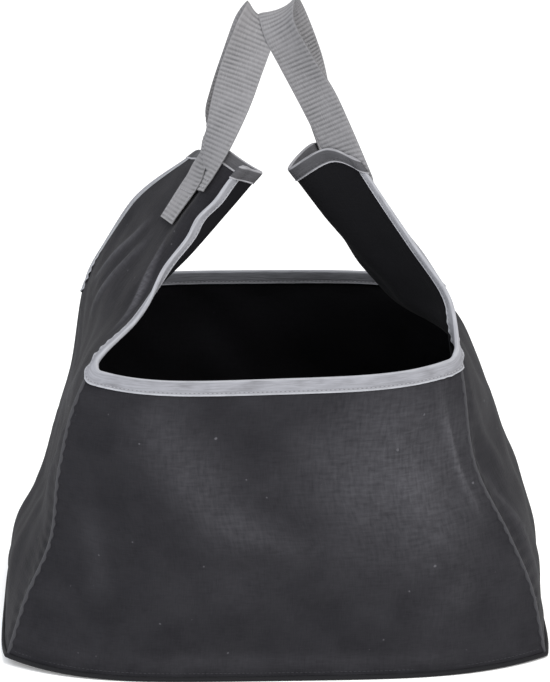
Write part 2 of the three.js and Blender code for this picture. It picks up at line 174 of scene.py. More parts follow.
# Soft folds in the cloth. A row runs from a start to an end, both given as across and up on the panel, with
# the fold's half width and its height, where a raised fold is positive, and its share of the lighter tone:
# partly scuffing, partly painted light on raised folds and on parts that face the light
FOLD_COLUMNS = ("start", "end", "width", "height", "fold_wear_and_light")
FOLDS = {
    "front": table(
        FOLD_COLUMNS,
        ((0.15, 0.97), (0.46, 0.5), 30, 1.8, 0.28),
        ((0.36, 0.62), (0.6, 0.5), 14, 1.2, 0.1),
        ((0.7, 1.0), (0.9, 0.42), 88, 1.6, 0.36),
        ((0.62, 0.86), (0.74, 0.56), 24, 1.4, 0.06),
        ((0.8, 0.9), (0.86, 0.5), 20, 1.2, 0.08),
        ((0.93, 0.93), (0.965, 0.6), 4, 1.3, 0.4),
        ((0.95, 0.93), (0.978, 0.6), 4, -1.3, 0),
        ((0.88, 0.93), (0.86, 0.7), 9, -0.9, 0),
        ((0.96, 0.6), (0.87, 0.1), 22, -3.0, 0),
        ((0.92, 0.5), (0.8, 0.16), 18, 1.6, 0.08),
        ((0.04, 0.9), (0.16, 0.6), 16, -1.4, 0),
        ((0.05, 0.66), (0.14, 0.3), 13, 1.4, 0.08),
        ((0.2, 0.42), (0.52, 0.28), 24, 1.1, 0.06),
        ((0.06, 0.06), (0.94, 0.05), 9, 1.0, 0.1),
    ),
    "back": table(
        FOLD_COLUMNS,
        ((0.3, 0.9), (0.56, 0.46), 24, 1.8, 0.2),
        ((0.3, 1.0), (0.12, 0.1), 90, 1.6, 0.25),
        ((0.06, 0.92), (0.12, 0.55), 9, 1.3, 0.2),
        ((0.94, 0.92), (0.8, 0.55), 14, 1.5, 0.2),
        ((0.9, 0.6), (0.72, 0.2), 20, 1.7, 0.25),
        ((0.12, 0.5), (0.3, 0.15), 22, -2.2, 0),
        ((0.06, 0.06), (0.94, 0.05), 9, 1.0, 0.1),
    ),
    "left": table(
        FOLD_COLUMNS,
        ((0.56, 0.87), (0.24, 0.66), 3.4, 1.9, 0.7),
        ((0.5, 0.86), (0.2, 0.68), 7, -1.4, 0),
        ((0.8, 0.86), (0.86, 0.68), 6, 1.8, 0.55),
        ((0.72, 0.84), (0.72, 0.62), 7, 1.5, 0.4),
        ((0.76, 0.84), (0.78, 0.62), 7, -1.6, 0),
        ((0.2, 0.56), (0.62, 0.45), 16, 2.0, 0.25),
        ((0.08, 0.5), (0.3, 0.3), 12, 1.9, 0.12),
        ((0.14, 0.52), (0.4, 0.34), 10, -1.7, 0),
        ((0.9, 0.52), (0.6, 0.36), 14, 1.6, 0.25),
        ((0.1, 0.27), (0.9, 0.25), 12, -1.6, 0),
        ((0.08, 0.04), (0.92, 0.04), 8, 1.0, 0.1),
    ),
    "right": table(
        FOLD_COLUMNS,
        ((0.5, 0.86), (0.42, 0.62), 12, 1.8, 0.3),
        ((0.76, 0.84), (0.64, 0.6), 9, 1.6, 0.3),
        ((0.06, 0.52), (0.3, 0.36), 11, 2.0, 0.08),
        ((0.04, 0.46), (0.16, 0.3), 8, -1.6, 0),
        ((0.08, 0.42), (0.16, 0.1), 10, 1.5, 0.2),
        ((0.3, 0.5), (0.7, 0.42), 18, 1.8, 0.12),
        ((0.9, 0.52), (0.68, 0.36), 12, 1.6, 0.25),
        ((0.08, 0.04), (0.92, 0.04), 8, 1.0, 0.1),
    ),
}
FOLD_TAPER = 0.7
FOLD_TIP = 0.03
EDGE_CALM = 16.0
RIM_MARGIN = 14.0
SLANT_MARGIN = 10.0
SWELL = {"height": 1.1, "longest": 150.0, "shortest": 45.0, "waves": 12, "seed": 7}
SEAM_PUCKER = {"height": 0.75, "length": 13.0, "reach": 20.0}

# Facets of the sewn pieces
SIDE_GRID = {"across": 96, "up": 168}
END_GRID = {"across": 150, "up": 92}
BASE_GRID = {"across": 84, "deep": 56}
PROBE = 0.003
TINY = 1e-9
PLACES = np.linspace(0, 1, 161)
SHARP_ANGLE = math.radians(50)
UV_MAP = "cloth"

# Seams
SEAM_INSET = 1.4
WELT = {"radius": 2.1, "sides": 10, "steps": 150, "top": 0.99}
TOPSTITCH = {"up": 0.02, "start": 0.012, "end": 0.988, "steps": 200}
THREAD_BALL = {"Segments": 6, "Rings": 4, "Radius": 0.5}

# Binding. Across it, a row of its profile says how deep on the cloth a place lies, as a share of the width,
# and how high over the cloth, as a share of the tape's thickness
BINDING_PROFILE = table(
    ("depth", "height"),
    (1.0, 0.25),
    (0.985, 0.95),
    (0.95, 1.3),
    (0.9, 1.22),
    (0.84, 0.95),
    (0.78, 0.72),
    (0.7, 0.95),
    (0.5, 1.08),
    (0.25, 1.12),
    (0.0, 1.05),
)
PROFILE_DEPTHS = np.array([row["depth"] for row in BINDING_PROFILE])
PROFILE_HEIGHTS = np.array([row["height"] for row in BINDING_PROFILE])
STITCH_DEPTH = 0.78
# Painted highlight along the raised bead at the tape's deep edge
HIGHLIGHT_DEPTH = 0.86
HIGHLIGHT_STEEPNESS = 2
# On the fold round the cloth's edge: a share of painted highlight and of painted shade
FOLD_HIGHLIGHT_AND_SHADE = 0.6
# Painted shade in the stitch line's hollow reaches this far either side, as a share of the width
GROOVE_SHADE_REACH = 0.06
FOLD_ANGLES = (62, 31, 0, -31, -62)
FOLD_HEIGHT = 1.05
TAPE_CLEAR = 0.05
BINDING_STEP = 1.8
CORNER_RADIUS = 13.0
CORNER_STEPS = 14
CORNER_BLEND = 24.0
CORNER_PUCKER = {"height": 2.3, "length": 9.0, "reach": 38.0}
MOUTH_LIFT = 0.6
SLANT_SHARE = {"left": 0.82, "right": 0.8}
SLANT_TAPER = 40.0
SLANT_END = 0.99
TOP_OVERHANG = 3.0
TOP_LAP = 8.0
LAP_RISE = 1.3

# Webbing
STRAP_STEP = 0.62
STRAP_LANES = 5
STRAP_FACETS = 25
STRAP_READINGS = 2001
SELVEDGE = 0.1
SELVEDGE_THIN = 0.7
SELVEDGE_SHARPNESS = 10
TAB_PLACE = (0.5, 0.9)
TAB_LIP = 3.0
TAB_STEPS = 8
TAB_CLEAR = 0.2
TAB_RISE = 2.1
TAB_RISE_UP = 0.955
TAB_RISE_RUN = 0.02
TAB_CALM_UP = 0.9
TAB_CALM_RUN = 0.07
TAB_BOX = (4.0, 34.0)
TAB_BOX_COLUMNS = (5, 19)

# Finishes: repeats in a metre of flat cloth each way, and the range that is stretched to 0 and 1
NOISES = {
    "threads": {"repeats": (900.0, 90.0), "detail": 2.0, "range": (0.3, 0.7)},
    "slubs": {"repeats": (330.0, 70.0), "detail": 2.0, "range": (0.3, 0.7)},
    "clouds": {"repeats": (24.0, 24.0), "detail": 3.0, "range": (0.35, 0.75)},
    "lint": {"repeats": (170.0, 170.0), "detail": 0.0, "range": (0.845, 0.9)},
    "tape_ribs": {"repeats": (60.0, 700.0), "detail": 2.0, "range": (0.3, 0.7)},
    "tape_soil": {"repeats": (32.0, 90.0), "detail": 3.0, "range": (0.45, 0.8)},
    "fibres": {"repeats": (900.0, 120.0), "detail": 2.0, "range": (0.3, 0.7)},
    # Slow noise that makes the webbing's painted shade between ribs uneven
    "uneven_groove_shade": {"repeats": (30.0, 22.0), "detail": 2.0, "range": (0.35, 0.65)},
}
# The canvas's last two marks: how far it turns to the lighter tone, partly scuffing and partly painted light
CANVAS_MARKS = {"threads": 0.1, "clouds": 0.1, "slubs_worn_and_lit": 1.1, "worn_and_lit": 0.42}
# Tape marks: the stitch-line mark is painted shade, and the edge marks are painted highlight
TAPE_MARKS = {"ribs": 0.4, "soil": 0.6, "groove_shade": 0.8, "edge_ribs": -0.6, "edge": 1.0}
# Webbing marks: painted shade between the ribs and along both edges
WEBBING_MARKS = {"uneven_groove_shade": 0.65, "groove_shade": 0.2, "fibres": 0.3, "rim": 0.7}
RIB_WAVE = (0.5, -1.0)
WEBBING_EDGE_SHADE = (0.16, 0.0)
RELIEF_STRENGTH = 0.5
RELIEF_HEIGHT = 0.0005
CLOTH_GLOSS = 0.1
SHEEN_ROUGHNESS = 0.5
CANVAS_ROUGHNESS = 0.85
CANVAS_SHEEN = 0.02
TAPE_ROUGHNESS = 0.75
TAPE_SHEEN = 0.05
WEBBING_ROUGHNESS = 0.7

# Studio, in metres
FLOOR_REACH = 20.0
FLOOR_ROUGHNESS = 0.9
WHITE = (1, 1, 1)
KEY_PLACE = (0.8, -2.0, 3.1)
KEY_SIZE = 2.2
FILL_PLACE = (-2.2, -1.2, 2.5)
FILL_SIZE = 1.8
SENSOR_WIDTH = 36.0


# Curves and distances

def spline_each(points, places):
    """Centripetal Catmull-Rom curves through points (count, curves, 3), each read at its own place."""
    last = len(points) - 1
    reach = np.clip(places, 0, 1) * last
    index = np.minimum(reach.astype(int), last - 1)
    share = (reach - index)[:, None]
    padded = np.concatenate([2 * points[:1] - points[1:2], points, 2 * points[-1:] - points[-2:-1]])
    curves = np.arange(points.shape[1])
    p0, p1, p2, p3 = (padded[index + step, curves] for step in range(4))
    chords = ((p0, p1), (p1, p2), (p2, p3))
    d0, d1, d2 = (np.sqrt(np.linalg.norm(b - a, axis=1, keepdims=True)) for a, b in chords)
    leave = ((p1 - p0) / d0 - (p2 - p0) / (d0 + d1) + (p2 - p1) / d1) * d1
    arrive = ((p2 - p1) / d1 - (p3 - p1) / (d1 + d2) + (p3 - p2) / d2) * d1
    square = 3 * (p2 - p1) - 2 * leave - arrive
    cube = 2 * (p1 - p2) + leave + arrive
    return p1 + share * (leave + share * (square + share * cube))


def spline(points, places):
    """One curve through points (count, 3), read at many places from 0 to 1."""
    points = np.asarray(points, float)
    return spline_each(np.repeat(points[:, None], len(places), axis=1), places)


def distances(lines):
    """Distance along each line of points (lines, points, 3), from its start."""
    steps = np.linalg.norm(np.diff(lines, axis=1), axis=2)
    return np.concatenate([np.zeros((len(lines), 1)), np.cumsum(steps, axis=1)], axis=1)


def arc(line):
    """Distance along one line of points, from its start."""
    return distances(line[None])[0]


def unit(vectors):
    return vectors / np.maximum(np.linalg.norm(vectors, axis=-1, keepdims=True), TINY)


def square_to(vectors, direction):
    """Unit vectors made square to a direction."""
    return unit(vectors - direction * np.sum(vectors * direction, axis=1, keepdims=True))


def smoothstep(value):
    share = np.clip(value, 0, 1)
    return share * share * (3 - 2 * share)


def fullness(share):
    return 1 - share ** BOW_POWER


def corner_lift(length):
    """How far the corners of the base lift, from the left ones at -1 to the right ones at 1."""
    return np.interp(length, (-1, 1), (CORNER_LIFTS["left"], CORNER_LIFTS["right"]))


def base_lift(length, depth):
    """The base lies flat and lifts a little at its four corners."""
    corner = (length ** BOW_POWER * depth ** BOW_POWER - FLAT_SHARE) / (1 - FLAT_SHARE)
    return corner_lift(length) * np.maximum(0, corner)


# Plain shapes of the cut panels

class Panel:
    """A cloth panel: a point and an outward normal at each place across it and up it, from 0 to 1."""

    outside = 1

    def normal(self, across, up):
        right = self.point(np.clip(across + PROBE, 0, 1), up)
        left = self.point(np.clip(across - PROBE, 0, 1), up)
        above = self.point(across, np.clip(up + PROBE, 0, 1))
        below = self.point(across, np.clip(up - PROBE, 0, 1))
        out = np.cross(right - left, above - below) * self.outside
        out[np.asarray(up) == 0, 2] = 0
        return unit(out)

    def lengths_across(self, up):
        """Distance from the front edge at each reading across, one row for each height."""
        across, rows = np.meshgrid(PLACES, np.atleast_1d(up))
        return distances(self.point(across, rows))

    def across_at(self, up, distance, from_rear=False):
        """The place across, at each height, that lies a distance in from the front or the rear edge."""
        heights, which = np.unique(up, return_inverse=True)
        runs = self.lengths_across(heights)[which]
        wanted = runs[:, -1] - distance if from_rear else np.broadcast_to(distance, len(which))
        return np.array([np.interp(want, run, PLACES) for want, run in zip(wanted, runs)])

    def up_below(self, across, distance):
        """The place up, at each place across, that lies a distance below the top edge."""
        columns, which = np.unique(across, return_inverse=True)
        up, wide = np.meshgrid(PLACES, columns)
        runs = distances(self.point(wide, up))[which]
        return np.array([np.interp(want, run, PLACES) for want, run in zip(runs[:, -1] - distance, runs)])


class TallSide(Panel):
    """A carrying side, from the base to its top edge."""

    def __init__(self, side, sections, tugs):
        base = {}
        for column, share in zip(COLUMNS, COLUMN_SHARES):
            reach = HALF_LENGTH + SIDE_BOW * fullness(share)
            base[column] = (side * reach, share * HALF_DEPTH, SEAT + float(base_lift(side, share)))
        rows = [base, *sections]
        self.outside = side
        self.tugs = tugs
        self.columns = np.array([[row[column] for row in rows] for column in COLUMNS], float)
        self.rim_up = RIM_SECTION / (len(rows) - 1)

    def point(self, across, up):
        across, up = np.broadcast_arrays(np.asarray(across, float), np.asarray(up, float))
        shape = across.shape
        across, up = across.ravel(), up.ravel()
        places = spline_each(np.stack([spline(column, up) for column in self.columns]), across)
        for tug in self.tugs:
            away = ((across - tug["across"]) / tug["wide"]) ** 2 + ((up - tug["up"]) / tug["tall"]) ** 2
            places += np.exp(-away)[:, None] * np.array(tug["move"], float)
        seated = up == 0
        places[seated, 2] = SEAT + base_lift(self.outside, places[seated, 1] / HALF_DEPTH)
        return places.reshape(*shape, 3)


class LowEnd(Panel):
    """A low end, hung between the edges of the two tall sides."""

    def __init__(self, facing, left, right):
        self.facing = facing
        self.outside = -facing
        self.edge = 0.0 if facing < 0 else 1.0
        self.left = left
        self.right = right
        self.shape = np.array([(row["bow"], row["dip"], 0) for row in END_SECTIONS], float)

    def point(self, across, up):
        across, up = np.broadcast_arrays(np.asarray(across, float), np.asarray(up, float))
        edge = np.full(up.shape, self.edge)
        left, right = (side.point(edge, up * side.rim_up) for side in (self.left, self.right))
        places = left + (right - left) * across[..., None]
        share = 2 * across - 1
        shape = spline(self.shape, up.ravel()).reshape(*up.shape, 3)
        settle = (corner_lift(share) - base_lift(share, 1)) * (1 - up) ** SETTLE_POWER
        places[..., 1] += self.facing * shape[..., 0] * fullness(share)
        places[..., 2] -= shape[..., 1] * fullness(share) + settle
        return places


SIDES = {
    "left": TallSide(-1, LEFT_SECTIONS, TUGS["left"]),
    "right": TallSide(1, RIGHT_SECTIONS, TUGS["right"]),
}
ENDS = {"front": LowEnd(-1, **SIDES), "back": LowEnd(1, **SIDES)}
PANELS = {**ENDS, **SIDES}


# Values that a user would change

class LogBagSizes(bpy.types.PropertyGroup):
    """Sizes of the cloth, tape, webbing and thread."""

    cloth: FloatProperty(name="Cloth", description="Thickness of the canvas", default=0.002, unit="LENGTH")
    tape: FloatProperty(
        name="Tape", description="Thickness of the edge binding", default=0.001, unit="LENGTH")
    binding: FloatProperty(
        name="Binding", description="Width of the binding on each face of a rim",
        default=0.013, unit="LENGTH")
    slant_binding: FloatProperty(
        name="Slant binding", description="Width of the binding on the slanted edges",
        default=0.009, unit="LENGTH")
    top_binding: FloatProperty(
        name="Top binding", description="Width of the binding over the top edges",
        default=0.013, unit="LENGTH")
    webbing: FloatProperty(
        name="Webbing", description="Width of the handle webbing", default=0.04, unit="LENGTH")
    webbing_thickness: FloatProperty(
        name="Webbing thickness", description="Thickness of the handle webbing",
        default=0.0022, unit="LENGTH")
    rib_pitch: FloatProperty(
        name="Rib pitch", description="Distance between ribs of the webbing", default=0.0044, unit="LENGTH")
    rib_height: FloatProperty(
        name="Rib height", description="Height of a rib of the webbing", default=0.00024, unit="LENGTH")
    stitch_pitch: FloatProperty(
        name="Stitch pitch", description="Distance between stitches", default=0.0042, unit="LENGTH")
    stitch: FloatProperty(name="Stitch", description="Length of a stitch", default=0.0034, unit="LENGTH")
    thread: FloatProperty(
        name="Thread", description="Thickness of the sewing thread", default=0.0008, unit="LENGTH")
    folds: FloatProperty(
        name="Folds", description="How deep the cloth's soft folds are",
        default=1.4, subtype="FACTOR", min=0, max=2)


class LogBagColours(bpy.types.PropertyGroup):
    """Colours of the cloth, tape, webbing and thread, some of them with painted light and shade."""

    canvas: FloatVectorProperty(
        name="Canvas", description="Outer face of the canvas",
        default=(0.0092, 0.009, 0.0112), subtype="COLOR")
    # Lighter canvas tone: partly scuffing, partly painted light on raised folds and on parts that face the
    # light
    canvas_worn: FloatVectorProperty(
        name="Worn canvas", description="Canvas where it is rubbed",
        default=(0.078, 0.077, 0.086), subtype="COLOR")
    # Near-black inner face: partly a dark coating, partly painted shade inside the bag
    dark_lining_and_shade: FloatVectorProperty(
        name="Inner face", description="Inner face of the canvas",
        default=(0.004, 0.004, 0.005), subtype="COLOR")
    binding: FloatVectorProperty(
        name="Binding", description="Edge binding", default=(0.27, 0.275, 0.3), subtype="COLOR")
    # Darker tape tone: real soil in random patches, and painted shade in the stitch line's hollow
    binding_soil_and_shade: FloatVectorProperty(
        name="Soiled binding", description="Binding where it is soiled",
        default=(0.12, 0.12, 0.13), subtype="COLOR")
    # Light edge colour of the tape: painted highlight on its raised edges and fold
    binding_edge_highlight: FloatVectorProperty(
        name="Binding edge", description="Woven edges of the binding",
        default=(0.42, 0.43, 0.46), subtype="COLOR")
    top_binding: FloatVectorProperty(
        name="Top binding", description="Binding over the top edges",
        default=(0.075, 0.075, 0.081), subtype="COLOR")
    # Darker top tape tone: real soil in random patches, and painted shade in the stitch line's hollow
    top_soil_and_shade: FloatVectorProperty(
        name="Soiled top binding", description="Soiled top binding",
        default=(0.04, 0.04, 0.044), subtype="COLOR")
    # Light edge colour of the top tape: painted highlight on its raised edges and fold
    top_edge_highlight: FloatVectorProperty(
        name="Top binding edge", description="Woven edges of the top binding",
        default=(0.5, 0.5, 0.53), subtype="COLOR")
    webbing: FloatVectorProperty(
        name="Webbing", description="Ribs of the webbing", default=(0.228, 0.225, 0.234), subtype="COLOR")
    # Painted shade between the webbing's ribs and along its edges
    webbing_groove_shade: FloatVectorProperty(
        name="Webbing groove", description="Grooves of the webbing",
        default=(0.11, 0.11, 0.114), subtype="COLOR")
    thread: FloatVectorProperty(
        name="Thread", description="Light sewing thread", default=(0.3, 0.3, 0.32), subtype="COLOR")
    # Lighter than the canvas: painted highlight on the raised seams
    welt: FloatVectorProperty(
        name="Welt", description="Raised corner seams", default=(0.045, 0.045, 0.05), subtype="COLOR")
    base_welt: FloatVectorProperty(
        name="Base welt", description="Welt round the base", default=(0.01, 0.01, 0.0115), subtype="COLOR")
    dark_thread: FloatVectorProperty(
        name="Dark thread", description="Thread of the seams in the canvas",
        default=(0.035, 0.035, 0.04), subtype="COLOR")


class LogBagStage(bpy.types.PropertyGroup):
    """Camera, lights and floor."""

    azimuth: FloatProperty(
        name="Azimuth", description="Camera's turn round the bag", default=math.radians(-2), subtype="ANGLE")
    elevation: FloatProperty(
        name="Elevation", description="Camera's angle over the floor",
        default=math.radians(18), subtype="ANGLE")
    distance: FloatProperty(
        name="Distance", description="Camera's distance from the bag", default=3.5, unit="LENGTH")
    lens: FloatProperty(name="Lens", description="Focal length in millimetres", default=235.0, unit="CAMERA")
    pivot: FloatVectorProperty(
        name="Pivot", description="Point that the camera turns round",
        default=(0.0, 0.0, 0.29), subtype="XYZ")
    aim: FloatVectorProperty(
        name="Aim", description="Point that the camera and the lights look at",
        default=(0.0034, 0.0, 0.2735), subtype="XYZ")
    key: FloatProperty(name="Key light", description="Power of the large light", default=112.0, unit="POWER")
    fill: FloatProperty(name="Fill light", description="Power of the side light", default=27.0, unit="POWER")
    key_colour: FloatVectorProperty(
        name="Key colour", description="Colour of the large light",
        default=(1.0, 0.98, 0.96), subtype="COLOR")
    fill_colour: FloatVectorProperty(
        name="Fill colour", description="Colour of the side light",
        default=(0.8, 0.88, 1.0), subtype="COLOR")
    sky: FloatProperty(name="Sky", description="Strength of the light from all round", default=0.85)
    floor: FloatVectorProperty(
        name="Floor", description="Colour of the floor", default=(0.93, 0.93, 0.93), subtype="COLOR")
    floor_glow: FloatProperty(
        name="Floor glow", description="Strength of the floor's own light", default=0.22)


# Sewing room: node trees, meshes and the calls that hand a finished piece over

class Wiring:
    """Adds nodes to a tree and links them, so that a material reads as one list."""

    def __init__(self, tree):
        self.tree = tree

    def set(self, socket, value):
        if isinstance(value, bpy.types.NodeSocket):
            self.tree.links.new(value, socket)
        else:
            socket.default_value = value

    def add(self, kind, inputs=None, **settings):
        node = self.tree.nodes.new(kind)
        for name, value in settings.items():
            setattr(node, name, value)
        for key, value in (inputs or {}).items():
            self.set(node.inputs[key], value)
        return node

    def out(self, kind, inputs=None, **settings):
        """The first output of a new node."""
        return self.add(kind, inputs, **settings).outputs[0]

    def math(self, operation, *values):
        return self.out("ShaderNodeMath", dict(enumerate(values)), operation=operation)

    def mark(self, name):
        """A value that the mesh holds at each point."""
        return self.add("ShaderNodeAttribute", attribute_name=name).outputs["Fac"]

    def mix(self, share, low, high):
        node = self.add("ShaderNodeMix", data_type="RGBA")
        ends = [socket for socket in node.inputs if socket.type == "RGBA"]
        for socket, value in zip((node.inputs["Factor"], *ends), (share, low, high)):
            self.set(socket, value)
        return next(socket for socket in node.outputs if socket.type == "RGBA")


def both(values):
    """The same values for the points of an outer grid and of its inner grid."""
    return np.concatenate([values] * 2)


def border(grid):
    """What lies once round the border of a grid."""
    return np.concatenate([grid[0, :-1], grid[:-1, -1], grid[-1, :0:-1], grid[:0:-1, 0]])


def wall(outer, inner):
    """Points, outward faces and slots of a closed wall: outer grid, inner grid, then the border."""
    rows, columns = outer.shape[:2]
    count = rows * columns
    index = np.arange(count).reshape(rows, columns)
    quads = np.stack([index[:-1, :-1], index[:-1, 1:], index[1:, 1:], index[1:, :-1]], axis=-1).reshape(-1, 4)
    rim = border(index)
    after = np.roll(rim, -1)
    hem = np.stack([after, rim, rim + count, after + count], axis=-1)
    faces = np.concatenate([quads, quads[:, ::-1] + count, hem])
    points = np.concatenate([outer.reshape(-1, 3), inner.reshape(-1, 3)])
    a, b, c = (points[quads[:, corner]] for corner in (0, 1, 3))
    outward = a - points[quads[:, 0] + count]
    if np.sum(np.cross(b - a, c - a) * outward) < 0:
        faces = faces[:, ::-1]
    slots = np.repeat([0, 1, 0], [len(quads), len(quads), len(hem)])
    return points, faces.tolist(), slots


def tube(path, reference, closed=False):
    """Points and outward faces of a welt's round cord along a path, capped unless it is a ring."""
    sides = WELT["sides"]
    if closed:
        along = unit(np.roll(path, -1, axis=0) - np.roll(path, 1, axis=0))
    else:
        along = unit(np.gradient(path, axis=0))
    side = unit(np.cross(along, reference))
    rise = np.cross(side, along)
    angles = np.arange(sides) * math.tau / sides
    spokes = side[:, None] * np.cos(angles)[:, None] + rise[:, None] * np.sin(angles)[:, None]
    rings = path[:, None] + spokes * WELT["radius"]
    index = np.arange(len(path) * sides).reshape(len(path), sides)
    here, there = (index, np.roll(index, -1, axis=0)) if closed else (index[:-1], index[1:])
    corners = [here, there, np.roll(there, -1, axis=1), np.roll(here, -1, axis=1)]
    faces = np.stack(corners, axis=-1).reshape(-1, 4).tolist()
    if not closed:
        faces += [index[0].tolist(), index[-1, ::-1].tolist()]
    return rings.reshape(-1, 3), faces


def linked(name, data):
    """A new object in the scene."""
    piece = bpy.data.objects.new(name, data)
    bpy.context.scene.collection.objects.link(piece)
    return piece


def finished(name, points, faces, materials, slots=None, uv=None, **attributes):
    """A smooth mesh object made from millimetres, with its own UV map and point attributes."""
    mesh = bpy.data.meshes.new(name)
    mesh.from_pydata((np.asarray(points) * MM).tolist(), [], faces)
    for material in materials:
        mesh.materials.append(material)
    if slots is not None:
        mesh.polygons.foreach_set("material_index", np.asarray(slots, np.int32))
    mesh.polygons.foreach_set("use_smooth", np.ones(len(mesh.polygons), bool))
    mesh.set_sharp_from_angle(angle=SHARP_ANGLE)
    if uv is not None:
        corners = np.zeros(len(mesh.loops), np.int32)
        mesh.loops.foreach_get("vertex_index", corners)
        layer = mesh.uv_layers.new(name=UV_MAP)
        layer.data.foreach_set("uv", (np.asarray(uv) * MM)[corners].astype(np.float32).ravel())
    for label, values in attributes.items():
        attribute = mesh.attributes.new(label, "FLOAT", "POINT")
        attribute.data.foreach_set("value", np.asarray(values, np.float32).ravel())
    mesh.update()
    return linked(name, mesh)


def hand_over(piece, slot, *nodes):
    """A finished piece rides on the bag and stands for its plain solids; its slot is not used."""
    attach(piece, BODY)
    if nodes:
        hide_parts(*nodes)


def node_tree(name, sizes):
    """An empty Geometry Nodes tree with named inputs, and the wiring to fill it."""
    tree = bpy.data.node_groups.new(name, "GeometryNodeTree")
    inputs = {"Geometry": "NodeSocketGeometry", **{label: "NodeSocketFloat" for label in sizes}}
    inputs["Material"] = "NodeSocketMaterial"
    for label, kind in inputs.items():
        tree.interface.new_socket(label, in_out="INPUT", socket_type=kind)
    tree.interface.new_socket("Geometry", in_out="OUTPUT", socket_type="NodeSocketGeometry")
    wiring = Wiring(tree)
    return wiring, wiring.add("NodeGroupInput").outputs


def end_tree(wiring, geometry, material):
    """The last nodes of a tree: real geometry, smooth, in one material."""
    real = wiring.out("GeometryNodeRealizeInstances", {"Geometry": geometry})
    smooth = wiring.out("GeometryNodeSetShadeSmooth", {"Geometry": real})
    clad = wiring.out("GeometryNodeSetMaterial", {"Geometry": smooth, "Material": material})
    wiring.add("NodeGroupOutput", {"Geometry": clad})
    return wiring.tree


def rib_tree():
    """Ribs across a webbing: each point moves out or in along its normal by where it lies along the strap."""
    wiring, given = node_tree("webbing_ribs", ("Rib pitch", "Rib height"))
    along = wiring.out("GeometryNodeInputNamedAttribute", {"Name": "along"}, data_type="FLOAT")
    body = wiring.out("GeometryNodeInputNamedAttribute", {"Name": "body"}, data_type="FLOAT")
    turns = wiring.math("DIVIDE", along, given["Rib pitch"])
    wave = wiring.math("SINE", wiring.math("MULTIPLY", turns, math.tau))
    height = wiring.math("MULTIPLY", wiring.math("MULTIPLY", wave, body), given["Rib height"])
    normal = wiring.out("GeometryNodeInputNormal")
    offset = wiring.out("ShaderNodeVectorMath", {0: normal, "Scale": height}, operation="SCALE")
    ribbed = wiring.out("GeometryNodeSetPosition", {"Geometry": given["Geometry"], "Offset": offset})
    return end_tree(wiring, ribbed, given["Material"])


def stitch_tree():
    """Stitches along lines: short threads lie along each line, flat to the cloth that the line lies on."""
    wiring, given = node_tree("stitches", ("Stitch pitch", "Stitch length", "Thread"))
    line = wiring.out("GeometryNodeMeshToCurve", {"Mesh": given["Geometry"]})
    spacing = {"Curve": line, "Length": given["Stitch pitch"]}
    spaced = wiring.out("GeometryNodeResampleCurve", spacing, mode="LENGTH")
    out = wiring.out("GeometryNodeInputNamedAttribute", {"Name": "out"}, data_type="FLOAT_VECTOR")
    axes = {0: wiring.out("GeometryNodeInputTangent"), 1: out}
    turn = wiring.out("FunctionNodeAxesToRotation", axes, primary_axis="X", secondary_axis="Z")
    thread = wiring.out("GeometryNodeMeshUVSphere", THREAD_BALL)
    sizes = {"X": given["Stitch length"], "Y": given["Thread"], "Z": given["Thread"]}
    scale = wiring.out("ShaderNodeCombineXYZ", sizes)
    placing = {"Points": spaced, "Instance": thread, "Rotation": turn, "Scale": scale}
    return end_tree(wiring, wiring.out("GeometryNodeInstanceOnPoints", placing), given["Material"])


def made_by_nodes(piece, tree, values):
    """Runs a node tree on a piece and keeps the result as its plain mesh."""
    modifier = piece.modifiers.new(tree.name, "NODES")
    modifier.node_group = tree
    for socket in tree.interface.items_tree:
        if socket.in_out == "INPUT" and socket.name in values:
            modifier[socket.identifier] = values[socket.name]
    graph = bpy.context.evaluated_depsgraph_get()
    made = bpy.data.meshes.new_from_object(
        piece.evaluated_get(graph), preserve_all_data_layers=True, depsgraph=graph)
    if not made.polygons:
        raise RuntimeError(f"{piece.name}: its node tree made no faces")
    plain = piece.data
    piece.modifiers.clear()
    piece.data = made
    bpy.data.meshes.remove(plain)
    made.name = piece.name


def stitched(name, lines, material, slot, sizes):
    """One piece that holds the stitches along several lines, each a pair of points and outward normals."""
    points, out = (np.concatenate(parts) for parts in zip(*lines))
    ends = np.cumsum([len(line) for line, _ in lines])
    starts = np.setdiff1d(np.arange(len(points)), ends - 1)
    mesh = bpy.data.meshes.new(name)
    mesh.from_pydata((points * MM).tolist(), np.stack([starts, starts + 1], axis=1).tolist(), [])
    attribute = mesh.attributes.new("out", "FLOAT_VECTOR", "POINT")
    attribute.data.foreach_set("vector", out.astype(np.float32).ravel())
    piece = linked(name, mesh)
    made_by_nodes(piece, bpy.data.node_groups.get("stitches") or stitch_tree(), {
        "Stitch pitch": sizes.stitch_pitch, "Stitch length": sizes.stitch, "Thread": sizes.thread,
        "Material": material})
    hand_over(piece, slot)


# Finishes

def made_once(make):
    """A finish that is made the first time that its name is asked for."""
    @wraps(make)
    def finish(name, *values):
        return bpy.data.materials.get(name) or make(name, *values)
    return finish


def new_material(name, roughness, sheen):
    material = bpy.data.materials.new(name)
    material.use_nodes = True
    shader = material.node_tree.nodes["Principled BSDF"]
    shader.inputs["Roughness"].default_value = roughness
    shader.inputs["Specular IOR Level"].default_value = CLOTH_GLOSS
    shader.inputs["Sheen Weight"].default_value = sheen
    shader.inputs["Sheen Roughness"].default_value = SHEEN_ROUGHNESS
    return material, Wiring(material.node_tree), shader


def opaque(colour):
    return (*colour, 1.0)


def stretch(wiring, value, low, high):
    """A value taken from a narrow range to the whole range from 0 to 1."""
    return wiring.out("ShaderNodeMapRange", {"Value": value, "From Min": low, "From Max": high}, clamp=True)


